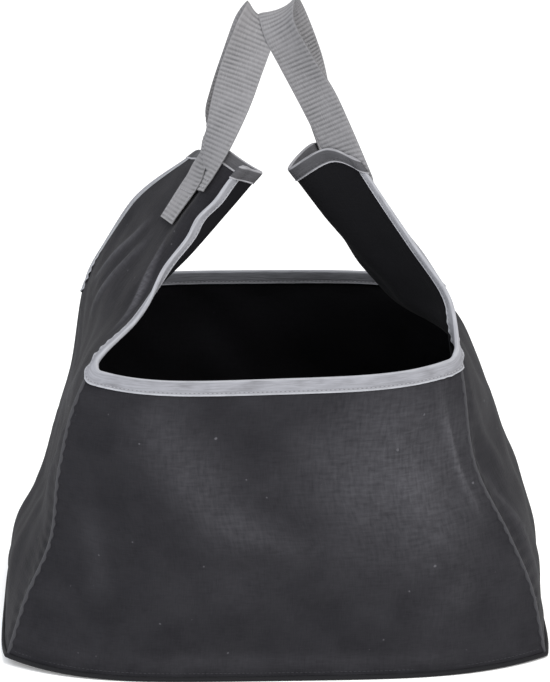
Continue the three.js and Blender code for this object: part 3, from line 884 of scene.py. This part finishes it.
def noise(wiring, name, turned=False):
    """One of the noises on the cloth's own flat map, the other way round if it is turned."""
    row = NOISES[name]
    repeats = row["repeats"][::-1] if turned else row["repeats"]
    flat = wiring.out("ShaderNodeUVMap", uv_map=UV_MAP)
    mapped = wiring.out("ShaderNodeMapping", {"Vector": flat, "Scale": opaque(repeats)})
    grain = wiring.out("ShaderNodeTexNoise", {"Vector": mapped, "Scale": 1.0, "Detail": row["detail"]})
    return stretch(wiring, grain, *row["range"])


def crossed(wiring, name):
    """Threads both ways: long noise along the cloth and long noise across it."""
    ways = [noise(wiring, name, turned) for turned in (False, True)]
    return wiring.math("MULTIPLY", wiring.math("ADD", *ways), 0.5)


def emboss(wiring, shader, height):
    """Fine relief of a weave."""
    relief = {"Height": height, "Strength": RELIEF_STRENGTH, "Distance": RELIEF_HEIGHT}
    wiring.set(shader.inputs["Normal"], wiring.out("ShaderNodeBump", relief))


@made_once
def canvas_finish(name, colour, worn):
    """Coarse canvas: threads and slubs both ways, soft clouds, lint and a lighter dusty tone where the mesh
    marks it, partly scuffing and partly painted light.
    """
    material, wiring, shader = new_material(name, CANVAS_ROUGHNESS, CANVAS_SHEEN)
    threads = crossed(wiring, "threads")
    slubs = crossed(wiring, "slubs")
    clouds = wiring.math("MULTIPLY", noise(wiring, "clouds"), CANVAS_MARKS["clouds"])
    plain = wiring.math("MULTIPLY_ADD", threads, CANVAS_MARKS["threads"], clouds)
    # Lighter tone, partly scuffing and partly painted light on raised folds and lit parts
    slubby = wiring.math("MULTIPLY_ADD", slubs, CANVAS_MARKS["slubs_worn_and_lit"], CANVAS_MARKS["worn_and_lit"])
    wear_and_light_tone = wiring.math("MULTIPLY", wiring.mark("worn"), slubby)
    share = wiring.math("ADD", wiring.math("ADD", plain, wear_and_light_tone), noise(wiring, "lint"))
    wiring.set(shader.inputs["Base Color"], wiring.mix(share, opaque(colour), opaque(worn)))
    emboss(wiring, shader, wiring.math("ADD", threads, slubs))
    return material


@made_once
def binding_finish(name, colour, shade, edge):
    """Woven edge tape: ribs across it, slightly soiled stretches, painted shade in the stitch line's hollow,
    and painted highlight on its edges and fold.
    """
    material, wiring, shader = new_material(name, TAPE_ROUGHNESS, TAPE_SHEEN)
    ribs = noise(wiring, "tape_ribs")
    soil = wiring.math("MULTIPLY", noise(wiring, "tape_soil"), TAPE_MARKS["soil"])
    # Painted shade in the stitch line's hollow
    groove_shade = wiring.math("MULTIPLY", wiring.mark("groove_shade"), TAPE_MARKS["groove_shade"])
    share = wiring.math("MAXIMUM", wiring.math("MULTIPLY_ADD", ribs, TAPE_MARKS["ribs"], soil), groove_shade)
    body = wiring.mix(share, opaque(colour), opaque(shade))
    # Painted highlight on the tape's edges and fold, weaker over the ribs
    ribbed_highlight = wiring.math("MULTIPLY_ADD", ribs, TAPE_MARKS["edge_ribs"], TAPE_MARKS["edge"])
    edge_highlight = wiring.math("MULTIPLY", wiring.mark("edge_highlight"), ribbed_highlight)
    wiring.set(shader.inputs["Base Color"], wiring.mix(edge_highlight, body, opaque(edge)))
    emboss(wiring, shader, ribs)
    return material


@made_once
def webbing_finish(name, colour, groove_shade_colour, pitch):
    """Ribbed webbing: light ribs, painted shade between the ribs that is uneven along the strap, painted
    shade along its edges, and fine threads along it.
    """
    material, wiring, shader = new_material(name, WEBBING_ROUGHNESS, TAPE_SHEEN)
    body = wiring.mark("body")
    wave = wiring.math("SINE", wiring.math("MULTIPLY", wiring.mark("along"), math.tau / pitch))
    # Painted shade in the hollows between the raised ribs
    groove_shade = wiring.math("MULTIPLY", stretch(wiring, wave, *RIB_WAVE), body)
    uneven_groove_shade = noise(wiring, "uneven_groove_shade")
    depth = wiring.math("MULTIPLY_ADD", uneven_groove_shade, WEBBING_MARKS["uneven_groove_shade"], WEBBING_MARKS["groove_shade"])
    fibres = noise(wiring, "fibres")
    deep = wiring.math("MULTIPLY", groove_shade, depth)
    marks = wiring.math("MULTIPLY_ADD", fibres, WEBBING_MARKS["fibres"], deep)
    # Painted shade along both edges of the strap
    share = wiring.math("MULTIPLY_ADD", stretch(wiring, body, *WEBBING_EDGE_SHADE), WEBBING_MARKS["rim"], marks)
    wiring.set(shader.inputs["Base Color"], wiring.mix(share, opaque(colour), opaque(groove_shade_colour)))
    emboss(wiring, shader, fibres)
    return material


@made_once
def thread_finish(name, colour):
    material, _, shader = new_material(name, WEBBING_ROUGHNESS, TAPE_SHEEN)
    shader.inputs["Base Color"].default_value = opaque(colour)
    return material


def canvas_faces(colours):
    """The finishes of the canvas outside and inside."""
    return [
        canvas_finish("canvas_outside", colours.canvas, colours.canvas_worn),
        canvas_finish("canvas_inside", colours.dark_lining_and_shade, colours.canvas),
    ]


# Cloth

def half_cloth(sizes):
    return sizes.cloth / MM / 2


def flattened(grid):
    """The grid's places on the flat cloth: distance across from its middle column, and distance up."""
    across = distances(grid)
    up = np.concatenate([[0], np.cumsum(np.linalg.norm(np.diff(grid, axis=0), axis=2).mean(axis=1))])
    middle = across[:, across.shape[1] // 2]
    return np.stack([across - middle[:, None], np.repeat(up[:, None], across.shape[1], axis=1)], axis=-1)


def fold_shape(flat, fold):
    """How much of a fold's height each place has, from 0 to 1."""
    rows, columns = flat.shape[:2]
    corners = [fold[end] for end in ("start", "end")]
    start, end = (flat[round(up * (rows - 1)), round(across * (columns - 1))] for across, up in corners)
    run = end - start
    share = np.clip(((flat - start) @ run) / (run @ run), 0, 1)
    distance = np.linalg.norm(flat - (start + share[..., None] * run), axis=-1)
    taper = np.sin(math.pi * np.clip(share, FOLD_TIP, 1 - FOLD_TIP)) ** FOLD_TAPER
    return np.exp(-(distance / fold["width"]) ** 2) * taper


def swell(flat, seed):
    """Slow waves in the cloth, from waves of many lengths and directions."""
    draw = np.random.default_rng(seed)
    total = np.zeros(flat.shape[:2])
    for _ in range(SWELL["waves"]):
        length = draw.uniform(SWELL["shortest"], SWELL["longest"])
        angle = draw.uniform(0, math.pi)
        phase = draw.uniform(0, math.tau)
        travel = flat[..., 0] * math.cos(angle) + flat[..., 1] * math.sin(angle)
        total += np.sin(math.tau * travel / length + phase)
    return SWELL["height"] * total / math.sqrt(SWELL["waves"])


def relief(name, flat, up):
    """Height of the cloth's folds over its plain shape, and each place's share of the lighter tone, partly
    scuffing and partly painted light.
    """
    edge = np.minimum(flat[..., 0] - flat[:, :1, 0], flat[:, -1:, 0] - flat[..., 0])
    rise = flat[..., 1]
    height = rise[-1, 0]
    rim = height if name in ENDS else height * SIDES[name].rim_up
    margin = np.where(rise > rim, SLANT_MARGIN, 0)
    free = smoothstep((edge - margin) / EDGE_CALM) * smoothstep(rise / EDGE_CALM)
    free *= smoothstep((height - RIM_MARGIN - rise) / EDGE_CALM)
    if name in SIDES:
        free *= smoothstep((TAB_CALM_UP - up) / TAB_CALM_RUN)
    folds = swell(flat, SWELL["seed"] + list(PANELS).index(name))
    worn = np.zeros(flat.shape[:2])
    for fold in FOLDS[name]:
        shape = fold_shape(flat, fold)
        folds += fold["height"] * shape
        # Share of the lighter tone: partly scuffing, partly painted light on raised folds and lit parts
        worn += fold["fold_wear_and_light"] * shape
    sewn = smoothstep((rim - RIM_MARGIN - rise) / EDGE_CALM)
    ruffle = np.sin(math.tau * rise / SEAM_PUCKER["length"] + np.sin(rise / SEAM_PUCKER["reach"]))
    pucker = SEAM_PUCKER["height"] * ruffle * np.exp(-edge / SEAM_PUCKER["reach"]) * sewn
    return folds * free + pucker, np.minimum(worn, 1)


def grid_normals(grid, like=None):
    normals = unit(np.cross(np.gradient(grid, axis=1), np.gradient(grid, axis=0)))
    if like is not None and np.sum(normals * like) < 0:
        normals = -normals
    return normals


def cloth_panel(name, steps, sizes, colours):
    """One cut panel of canvas with its folds, as a closed wall with a dark inner face, darkened partly as
    painted shade.
    """
    panel = PANELS[name]
    up = np.linspace(0, 1, steps["up"] + 1)
    share = np.linspace(0, 1, steps["across"] + 1)
    low = panel.across_at(up, SEAM_INSET)
    high = panel.across_at(up, SEAM_INSET, from_rear=True)
    across = low[:, None] + (high - low)[:, None] * share
    ups = np.repeat(up[:, None], len(share), axis=1)
    plain = panel.point(across, ups)
    out = panel.normal(across, ups)
    flat = flattened(plain)
    height, worn = relief(name, flat, ups)
    middle = plain + out * (height * sizes.folds)[..., None]
    thick = grid_normals(middle, out) * half_cloth(sizes)
    points, faces, slots = wall(middle + thick, middle - thick)
    uv = both(flat.reshape(-1, 2))
    piece = finished(
        f"{name}_cloth", points, faces, canvas_faces(colours), slots, uv, worn=both(worn.ravel()))
    hand_over(piece, "canvas", f"{name}_panel")


def cut_panels(context, names, steps):
    for name in names:
        cloth_panel(name, steps, context.scene.log_bag_sizes, context.scene.log_bag_colours)
    return {"FINISHED"}


class LOGBAG_OT_base(bpy.types.Operator):
    """Cut the base that the bag stands on and sew a welt round its edge"""

    bl_idname = "log_bag.base"
    bl_label = "Base"

    def execute(self, context):
        colours = context.scene.log_bag_colours
        across = np.linspace(-1, 1, BASE_GRID["across"] + 1)
        deep = np.linspace(-1, 1, BASE_GRID["deep"] + 1)
        length, depth = np.meshgrid(across, deep)
        x = length * (HALF_LENGTH + BASE_LIP + SIDE_BOW * fullness(depth))
        y = depth * (HALF_DEPTH + BASE_LIP + END_BOW * fullness(length))
        under = np.stack([x, y, base_lift(length, depth)], axis=-1)
        over = under + np.array([0, 0, BASE_THICKNESS])
        points, faces, slots = wall(under, over)
        uv = both(under[..., :2].reshape(-1, 2))
        base = finished(
            "base_cloth", points, faces, canvas_faces(colours), slots, uv, worn=np.zeros(len(points)))
        hand_over(base, "canvas", "base_panel")
        path = border(under) + np.array([0, 0, WELT["radius"]])
        points, faces = tube(path, np.array([0, 0, 1.0]), closed=True)
        welt = finished("base_welt", points, faces, [thread_finish("base_cord", colours.base_welt)])
        hand_over(welt, "canvas")
        return {"FINISHED"}


class LOGBAG_OT_ends(bpy.types.Operator):
    """Cut the two low ends"""

    bl_idname = "log_bag.ends"
    bl_label = "Low ends"

    def execute(self, context):
        return cut_panels(context, ENDS, END_GRID)


class LOGBAG_OT_sides(bpy.types.Operator):
    """Cut the two tall carrying sides"""

    bl_idname = "log_bag.sides"
    bl_label = "Tall sides"

    def execute(self, context):
        return cut_panels(context, SIDES, SIDE_GRID)


class LOGBAG_OT_welts(bpy.types.Operator):
    """Sew the raised corner seams and the topstitching beside the base"""

    bl_idname = "log_bag.welts"
    bl_label = "Corner welts"

    def execute(self, context):
        sizes = context.scene.log_bag_sizes
        colours = context.scene.log_bag_colours
        # Lighter welt colour: painted highlight on the raised seams
        cord = thread_finish("seam_welt_highlight", colours.welt)
        dark = thread_finish("dark_thread", colours.dark_thread)
        for side, panel in SIDES.items():
            up = np.linspace(0, WELT["top"] * panel.rim_up, WELT["steps"])
            for name, end in ENDS.items():
                path = panel.point(np.full(len(up), end.edge), up)
                points, faces = tube(path, np.array([panel.outside, end.facing, 0.0]))
                welt = finished(f"{side}_{name}_welt", points, faces, [cord])
                hand_over(welt, "canvas", f"{side}_{name}_seam")
        across = np.linspace(TOPSTITCH["start"], TOPSTITCH["end"], TOPSTITCH["steps"])
        up = np.full(len(across), TOPSTITCH["up"])
        lines = []
        for panel in PANELS.values():
            normal = panel.normal(across, up)
            lines.append((panel.point(across, up) + normal * half_cloth(sizes), normal))
        stitched("base_stitches", lines, dark, "canvas", sizes)
        return {"FINISHED"}


# Binding

def unfolded(end, side, along, up_slant):
    """Points and normals of the cloth round a mouth corner: along the rim from it, and up the slant."""
    panel = SIDES[side]
    heights = arc(panel.point(np.full(len(PLACES), end.edge), PLACES))
    heights -= np.interp(panel.rim_up, PLACES, heights)
    up = np.interp(up_slant, heights, PLACES)
    across = panel.across_at(up, np.maximum(-along, 0), from_rear=end.edge == 1)
    rim = arc(end.point(PLACES, np.ones(len(PLACES))))
    reach = np.maximum(along, 0)
    rim_across = np.interp(reach if side == "left" else rim[-1] - reach, rim, PLACES)
    rim_up = end.up_below(rim_across, np.maximum(-up_slant, 0))
    on_side, on_end = panel.point(across, up), end.point(rim_across, rim_up)
    corner = end.point(np.array([0.0 if side == "left" else 1.0]), np.array([1.0]))
    beyond = on_side + on_end - corner
    place = np.where((along <= 0)[:, None], on_side, np.where((up_slant <= 0)[:, None], on_end, beyond))
    weight = smoothstep(0.5 + (np.maximum(up_slant, 0) - along) / CORNER_BLEND)[:, None]
    normal = unit(panel.normal(across, up) * weight + end.normal(rim_across, rim_up) * (1 - weight))
    return place, normal


def mouth_half(end, side, rim_width, slant_width):
    """Half a mouth's binding, from the top of a slant round the corner to the middle of the rim."""
    panel = SIDES[side]
    slanted = np.linspace(panel.rim_up, SLANT_END, len(PLACES))
    slant = arc(panel.point(np.full(len(PLACES), end.edge), slanted))[-1]
    rim = arc(end.point(PLACES, np.ones(len(PLACES))))[-1] / 2
    down = np.linspace(slant, CORNER_RADIUS, round(slant / BINDING_STEP))
    turn = np.radians(np.linspace(0, 90, CORNER_STEPS + 2)[1:-1])[:, None]
    level = np.linspace(CORNER_RADIUS, rim, round(rim / BINDING_STEP))
    narrow = smoothstep((down - CORNER_RADIUS) / SLANT_TAPER)
    down_widths = rim_width + (slant_width * SLANT_SHARE[side] - rim_width) * narrow
    depths = rim_width * PROFILE_DEPTHS
    along = np.concatenate([
        -down_widths[:, None] * PROFILE_DEPTHS,
        CORNER_RADIUS - (CORNER_RADIUS + depths) * np.cos(turn),
        np.repeat(level[:, None], len(depths), axis=1),
    ])
    up_slant = np.concatenate([
        np.repeat(down[:, None], len(depths), axis=1),
        CORNER_RADIUS - (CORNER_RADIUS + depths) * np.sin(turn),
        np.broadcast_to(-depths, (len(level), len(depths))),
    ])
    place, normal = unfolded(end, side, along.ravel(), up_slant.ravel())
    shape = (*along.shape, 3)
    corner = len(down) + len(turn) / 2
    away = (np.arange(len(along)) - corner) * BINDING_STEP
    nearness = np.exp(-(away / CORNER_PUCKER["reach"]) ** 2)
    return place.reshape(shape), normal.reshape(shape), nearness


def folded_tape(points, normals, half, tape, lift, flutter):
    """Outer and inner grids of a tape folded over an edge. Points run from its deep edge to the cloth's."""
    edge, out = points[:, -1], normals[:, -1]
    inward = unit(points[:, -2] - edge)
    angles = np.radians(FOLD_ANGLES)[:, None]
    swing = out[:, None] * np.sin(angles) - inward[:, None] * np.cos(angles)

    def path(rise, fold):
        level = (half + lift[:, None] + flutter + rise)[..., None]
        turn = edge[:, None] + swing * (half + lift[:, None, None] + fold)
        return np.concatenate([points + normals * level, turn, (points - normals * level)[:, ::-1]], axis=1)

    return path(PROFILE_HEIGHTS * tape, tape * FOLD_HEIGHT), path(TAPE_CLEAR, TAPE_CLEAR)


def bind(name, points, normals, lift, flutter, sizes, finish, thread, nodes):
    """A folded tape over an edge with its stitch line on both faces."""
    outer, inner = folded_tape(points, normals, half_cloth(sizes), sizes.tape / MM, lift, flutter)
    grid_points, faces, _ = wall(outer, inner)
    along = np.repeat(arc(points[:, -1])[:, None], outer.shape[1], axis=1)
    across = np.repeat(arc(outer[len(outer) // 2])[None], len(outer), axis=0)
    uv = both(np.stack([along, across], axis=-1).reshape(-1, 2))
    # Painted highlight towards the tape's deep edge
    edge_highlight = smoothstep((PROFILE_DEPTHS - HIGHLIGHT_DEPTH) / (1 - HIGHLIGHT_DEPTH) * HIGHLIGHT_STEEPNESS)
    # Painted shade in the stitch line's hollow
    groove_shade = np.exp(-((PROFILE_DEPTHS - STITCH_DEPTH) / GROOVE_SHADE_REACH) ** 2)
    # On the fold the tape takes both painted highlight and painted shade
    fold = np.full(len(FOLD_ANGLES), FOLD_HIGHLIGHT_AND_SHADE)
    marks = {
        label: np.tile(np.concatenate([half, fold, half[::-1]]), 2 * len(outer))
        for label, half in (("edge_highlight", edge_highlight), ("groove_shade", groove_shade))
    }
    tape = finished(name, grid_points, faces, [finish], None, uv, **marks)
    hand_over(tape, "tape", *nodes)
    column = PROFILE_DEPTHS.tolist().index(STITCH_DEPTH)
    normal = normals[:, column]
    lines = [(outer[:, column], normal), (outer[:, -1 - column], -normal)]
    stitched(f"{name}_stitches", lines, thread, "tape", sizes)


class LOGBAG_OT_mouths(bpy.types.Operator):
    """Bind each mouth with one tape: down a slant, round the corner, along the rim and up the other slant"""

    bl_idname = "log_bag.mouths"
    bl_label = "Mouth binding"

    def execute(self, context):
        sizes = context.scene.log_bag_sizes
        colours = context.scene.log_bag_colours
        finish = binding_finish("mouth_tape", colours.binding, colours.binding_soil_and_shade, colours.binding_edge_highlight)
        thread = thread_finish("light_thread", colours.thread)
        widths = sizes.binding / MM, sizes.slant_binding / MM
        for name, end in ENDS.items():
            halves = [mouth_half(end, side, *widths) for side in SIDES]
            points, normals, nearness = (
                np.concatenate([left, right[::-1][1:]]) for left, right in zip(*halves))
            wave = 0.5 + 0.5 * np.sin(math.tau * arc(points[:, -1]) / CORNER_PUCKER["length"])
            flutter = CORNER_PUCKER["height"] * (nearness * wave)[:, None] * PROFILE_DEPTHS ** 2
            nodes = [f"{name}_rim_tape", f"left_{name}_tape", f"right_{name}_tape"]
            bind(f"{name}_mouth_binding", points, normals, MOUTH_LIFT * nearness, flutter,
                 sizes, finish, thread, nodes)
        return {"FINISHED"}


class LOGBAG_OT_tops(bpy.types.Operator):
    """Bind the top edge of each tall side with a wider tape"""

    bl_idname = "log_bag.tops"
    bl_label = "Top binding"

    def execute(self, context):
        sizes = context.scene.log_bag_sizes
        colours = context.scene.log_bag_colours
        finish = binding_finish("top_tape", colours.top_binding, colours.top_soil_and_shade, colours.top_edge_highlight)
        thread = thread_finish("top_thread", colours.top_binding)
        depths = PROFILE_DEPTHS * sizes.top_binding / MM
        for side, panel in SIDES.items():
            width = panel.lengths_across(1.0)[0, -1]
            across = np.linspace(0, 1, round(width / BINDING_STEP))
            columns = np.repeat(across, len(depths))
            up = panel.up_below(columns, np.tile(depths, len(across)))
            shape = (len(across), len(depths), 3)
            points = panel.point(columns, up).reshape(shape)
            normals = panel.normal(columns, up).reshape(shape)
            for end, inner in ((0, 1), (-1, -2)):
                points[end] += unit(points[end] - points[inner]) * TOP_OVERHANG
            lap = np.minimum(across, 1 - across) * width / TOP_LAP
            lift = sizes.tape / MM * LAP_RISE * (1 - smoothstep(lap - 1))
            lift[[0, -1]] = TAPE_CLEAR - half_cloth(sizes)
            bind(f"{side}_top_binding", points, normals, lift, np.zeros(shape[:2]),
                 sizes, finish, thread, [f"{side}_top_tape"])
        return {"FINISHED"}


# Handles

def tab_line(panel, tab):
    """The middle of a sewn tab, from its low end: its places across and up the side, and its points."""
    columns = np.linspace(*tab["across"], TAB_STEPS)
    ups = np.linspace(*tab["sewn_up"], TAB_STEPS)
    return columns, ups, panel.point(columns, ups)


def tab_rows(panel, tab, turned, sizes):
    """Rows of a sewn tab: flat on the cloth, rising over the top binding, then a short lip past the edge."""
    reach = np.linspace(-1, 1, STRAP_LANES) * turned * (sizes.webbing / MM) / 2
    low = half_cloth(sizes) + TAB_CLEAR + sizes.webbing_thickness / MM / 2 + tab["lies_on"]
    columns, ups, middles = tab_line(panel, tab)
    forward = unit(np.gradient(middles, axis=0))
    beside = (panel.point(columns + PROBE, ups) - panel.point(columns - PROBE, ups)) / (2 * PROBE)
    upward = (middles - panel.point(columns, ups - PROBE)) / PROBE
    sideways = square_to(beside, forward)
    rows = []
    for i, middle in enumerate(middles):
        axes = np.stack([beside[i], upward[i]], axis=1)
        share_across, share_up = np.linalg.lstsq(axes, sideways[i], rcond=None)[0]
        across = columns[i] + share_across * reach
        up = ups[i] + share_up * reach
        sewn = np.minimum(up, 1)
        lanes = panel.point(across, sewn) + upward[i] * (up - sewn)[:, None]
        lanes = middle + unit(lanes - middle) * np.abs(reach)[:, None]
        height = low + TAB_RISE * smoothstep((up - TAB_RISE_UP) / TAB_RISE_RUN)
        rows.append(lanes + panel.normal(across, sewn) * height[:, None])
    return [*rows, rows[-1] + forward[-1] * TAB_LIP]


def free_rows(free, width):
    """Rows of the free webbing: each lies across its own direction and curls at its two edges."""
    shares = np.linspace(-1, 1, STRAP_LANES)
    middles = np.array([row["middle"] for row in free], float)
    ahead = np.concatenate([middles[1:], middles[-1:]])
    behind = np.concatenate([middles[:1], middles[:-1]])
    along = unit(ahead - behind)
    across = square_to(np.array([row["across"] for row in free], float), along)
    out = np.cross(along, across)
    rows = []
    for i, row in enumerate(free):
        curl = np.where(shares > 0, row["left_curl"], row["right_curl"]) * shares ** 2
        rows.append(middles[i] + across[i] * shares[:, None] * width / 2 + out[i] * curl[:, None])
    return rows


def strap_grid(side, sizes):
    """Middle surface of a handle in even steps along it, with the distance along and the share across."""
    panel, strap = SIDES[side], STRAPS[side]
    front = tab_rows(panel, strap["front_tab"], 1, sizes)
    rear = tab_rows(panel, strap["rear_tab"], -1, sizes)
    lanes = np.array([*front, *free_rows(strap["free"], sizes.webbing / MM), *rear[::-1]])
    fine = np.linspace(0, 1, STRAP_READINGS)
    run = arc(spline(lanes[:, STRAP_LANES // 2], fine))
    along = np.linspace(0, run[-1], round(run[-1] / STRAP_STEP))
    places = np.interp(along, run, fine)
    ribbon = np.stack([spline(lanes[:, lane], places) for lane in range(STRAP_LANES)])
    share = np.sin(np.linspace(-1, 1, STRAP_FACETS) * math.pi / 2)
    columns = [spline_each(ribbon, np.full(len(places), (one + 1) / 2)) for one in share]
    return np.stack(columns, axis=1), along, share


def tab_stitches(side, outer, inner, normal, along):
    """Boxes of stitches on the outer face of both tabs of a handle, no longer than the sewn part."""
    panel, strap = SIDES[side], STRAPS[side]
    facing = panel.normal(*np.array(TAB_PLACE)[:, None])[0]
    left, right = TAB_BOX_COLUMNS
    start, end = TAB_BOX
    lines = []
    for name, step in (("front_tab", 1), ("rear_tab", -1)):
        sewn = arc(tab_line(panel, strap[name])[2])[-1]
        sign = 1 if (outer[::step][0].mean(axis=0) - inner[::step][0].mean(axis=0)) @ facing > 0 else -1
        face = (outer if sign > 0 else inner)[::step]
        out = sign * normal[::step]
        low, high = np.searchsorted(along, (start, min(end, sewn - start)))
        lines += [(face[low:high, column], out[low:high, column]) for column in (left, right)]
        lines += [(face[row, left:right + 1], out[row, left:right + 1]) for row in (low, high)]
    return lines


class LOGBAG_OT_handles(bpy.types.Operator):
    """Weave the two ribbed webbing handles and sew their tabs"""

    bl_idname = "log_bag.handles"
    bl_label = "Webbing handles"

    def execute(self, context):
        sizes = context.scene.log_bag_sizes
        colours = context.scene.log_bag_colours
        finish = webbing_finish("handle_webbing", colours.webbing, colours.webbing_groove_shade, sizes.rib_pitch)
        thread = thread_finish("light_thread", colours.thread)
        for side in SIDES:
            grid, along, share = strap_grid(side, sizes)
            normal = grid_normals(grid)
            thin = 1 - SELVEDGE_THIN * np.abs(share) ** SELVEDGE_SHARPNESS
            thick = normal * (sizes.webbing_thickness / MM / 2 * thin)[:, None]
            outer, inner = grid + thick, grid - thick
            points, faces, _ = wall(outer, inner)
            flat = np.stack(np.meshgrid(share * sizes.webbing / MM / 2, along), axis=-1).reshape(-1, 2)
            body = np.broadcast_to(smoothstep((1 - np.abs(share)) / SELVEDGE), grid.shape[:2])
            strap = finished(
                f"{side}_webbing", points, faces, [finish], None, both(flat),
                along=both(flat[:, 1]) * MM, body=both(body.ravel()))
            made_by_nodes(strap, bpy.data.node_groups.get("webbing_ribs") or rib_tree(), {
                "Rib pitch": sizes.rib_pitch, "Rib height": sizes.rib_height, "Material": finish})
            hand_over(strap, "webbing", f"{side}_handle")
            lines = tab_stitches(side, outer, inner, normal, along)
            stitched(f"{side}_tab_stitches", lines, thread, "webbing", sizes)
        return {"FINISHED"}


# Studio

def aim(thing, target):
    """Turns a lamp or a camera to a point."""
    thing.rotation_euler = (Vector(target) - thing.location).to_track_quat("-Z", "Y").to_euler()


class LOGBAG_OT_stage(bpy.types.Operator):
    """Set the floor, the soft lights and the camera"""

    bl_idname = "log_bag.stage"
    bl_label = "Studio"

    def execute(self, context):
        scene = context.scene
        stage = scene.log_bag_stage
        floor_mesh = bpy.data.meshes.new("floor")
        corners = [(x * FLOOR_REACH, y * FLOOR_REACH, 0) for x, y in ((-1, -1), (1, -1), (1, 1), (-1, 1))]
        floor_mesh.from_pydata(corners, [], [(0, 1, 2, 3)])
        paint = bpy.data.materials.new("floor_paint")
        paint.use_nodes = True
        shader = paint.node_tree.nodes["Principled BSDF"]
        shader.inputs["Base Color"].default_value = opaque(stage.floor)
        shader.inputs["Emission Color"].default_value = opaque(stage.floor)
        shader.inputs["Emission Strength"].default_value = stage.floor_glow
        shader.inputs["Roughness"].default_value = FLOOR_ROUGHNESS
        shader.inputs["Specular IOR Level"].default_value = 0.0
        floor_mesh.materials.append(paint)
        linked("floor", floor_mesh)
        for name, power, colour, place, size in (
            ("key_light", stage.key, stage.key_colour, KEY_PLACE, KEY_SIZE),
            ("fill_light", stage.fill, stage.fill_colour, FILL_PLACE, FILL_SIZE),
        ):
            light = bpy.data.lights.new(name, "AREA")
            light.energy = power
            light.color = colour
            light.size = size
            lamp = linked(name, light)
            lamp.location = place
            aim(lamp, stage.aim)
        scene.world = bpy.data.worlds.new("studio")
        scene.world.use_nodes = True
        sky = scene.world.node_tree.nodes["Background"]
        sky.inputs["Color"].default_value = opaque(WHITE)
        sky.inputs["Strength"].default_value = stage.sky
        lens = bpy.data.cameras.new("photo_camera")
        lens.sensor_fit = "HORIZONTAL"
        lens.sensor_width = SENSOR_WIDTH
        lens.lens = stage.lens
        camera = linked("photo_camera", lens)
        back = Vector((
            math.sin(stage.azimuth) * math.cos(stage.elevation),
            -math.cos(stage.azimuth) * math.cos(stage.elevation),
            math.sin(stage.elevation)))
        camera.location = Vector(stage.pivot) + back * stage.distance
        aim(camera, stage.aim)
        scene.camera = camera
        scene.view_settings.view_transform = "Standard"
        return {"FINISHED"}


OPERATORS = (
    LOGBAG_OT_base, LOGBAG_OT_ends, LOGBAG_OT_sides, LOGBAG_OT_welts, LOGBAG_OT_mouths, LOGBAG_OT_tops,
    LOGBAG_OT_handles, LOGBAG_OT_stage)


class LOGBAG_PT_panel(bpy.types.Panel):
    """The pieces of the bag and the values that they are made from"""

    bl_idname = "LOGBAG_PT_panel"
    bl_label = "Log Bag"
    bl_space_type = "VIEW_3D"
    bl_region_type = "UI"
    bl_category = "Log Bag"

    def draw(self, context):
        scene = context.scene
        for operator in OPERATORS:
            self.layout.operator(operator.bl_idname)
        for group in (scene.log_bag_sizes, scene.log_bag_colours, scene.log_bag_stage):
            for name in group.__annotations__:
                self.layout.prop(group, name)


CLASSES = (LogBagSizes, LogBagColours, LogBagStage, *OPERATORS, LOGBAG_PT_panel)


def register():
    for one in CLASSES:
        bpy.utils.register_class(one)
    bpy.types.Scene.log_bag_sizes = PointerProperty(type=LogBagSizes)
    bpy.types.Scene.log_bag_colours = PointerProperty(type=LogBagColours)
    bpy.types.Scene.log_bag_stage = PointerProperty(type=LogBagStage)


def unregister():
    del bpy.types.Scene.log_bag_stage
    del bpy.types.Scene.log_bag_colours
    del bpy.types.Scene.log_bag_sizes
    for one in reversed(CLASSES):
        bpy.utils.unregister_class(one)


def main():
    register()
    bpy.ops.log_bag.base()
    bpy.ops.log_bag.ends()
    bpy.ops.log_bag.sides()
    bpy.ops.log_bag.welts()
    bpy.ops.log_bag.mouths()
    bpy.ops.log_bag.tops()
    bpy.ops.log_bag.handles()
    bpy.ops.log_bag.stage()


if __name__ == "__main__":
    main()
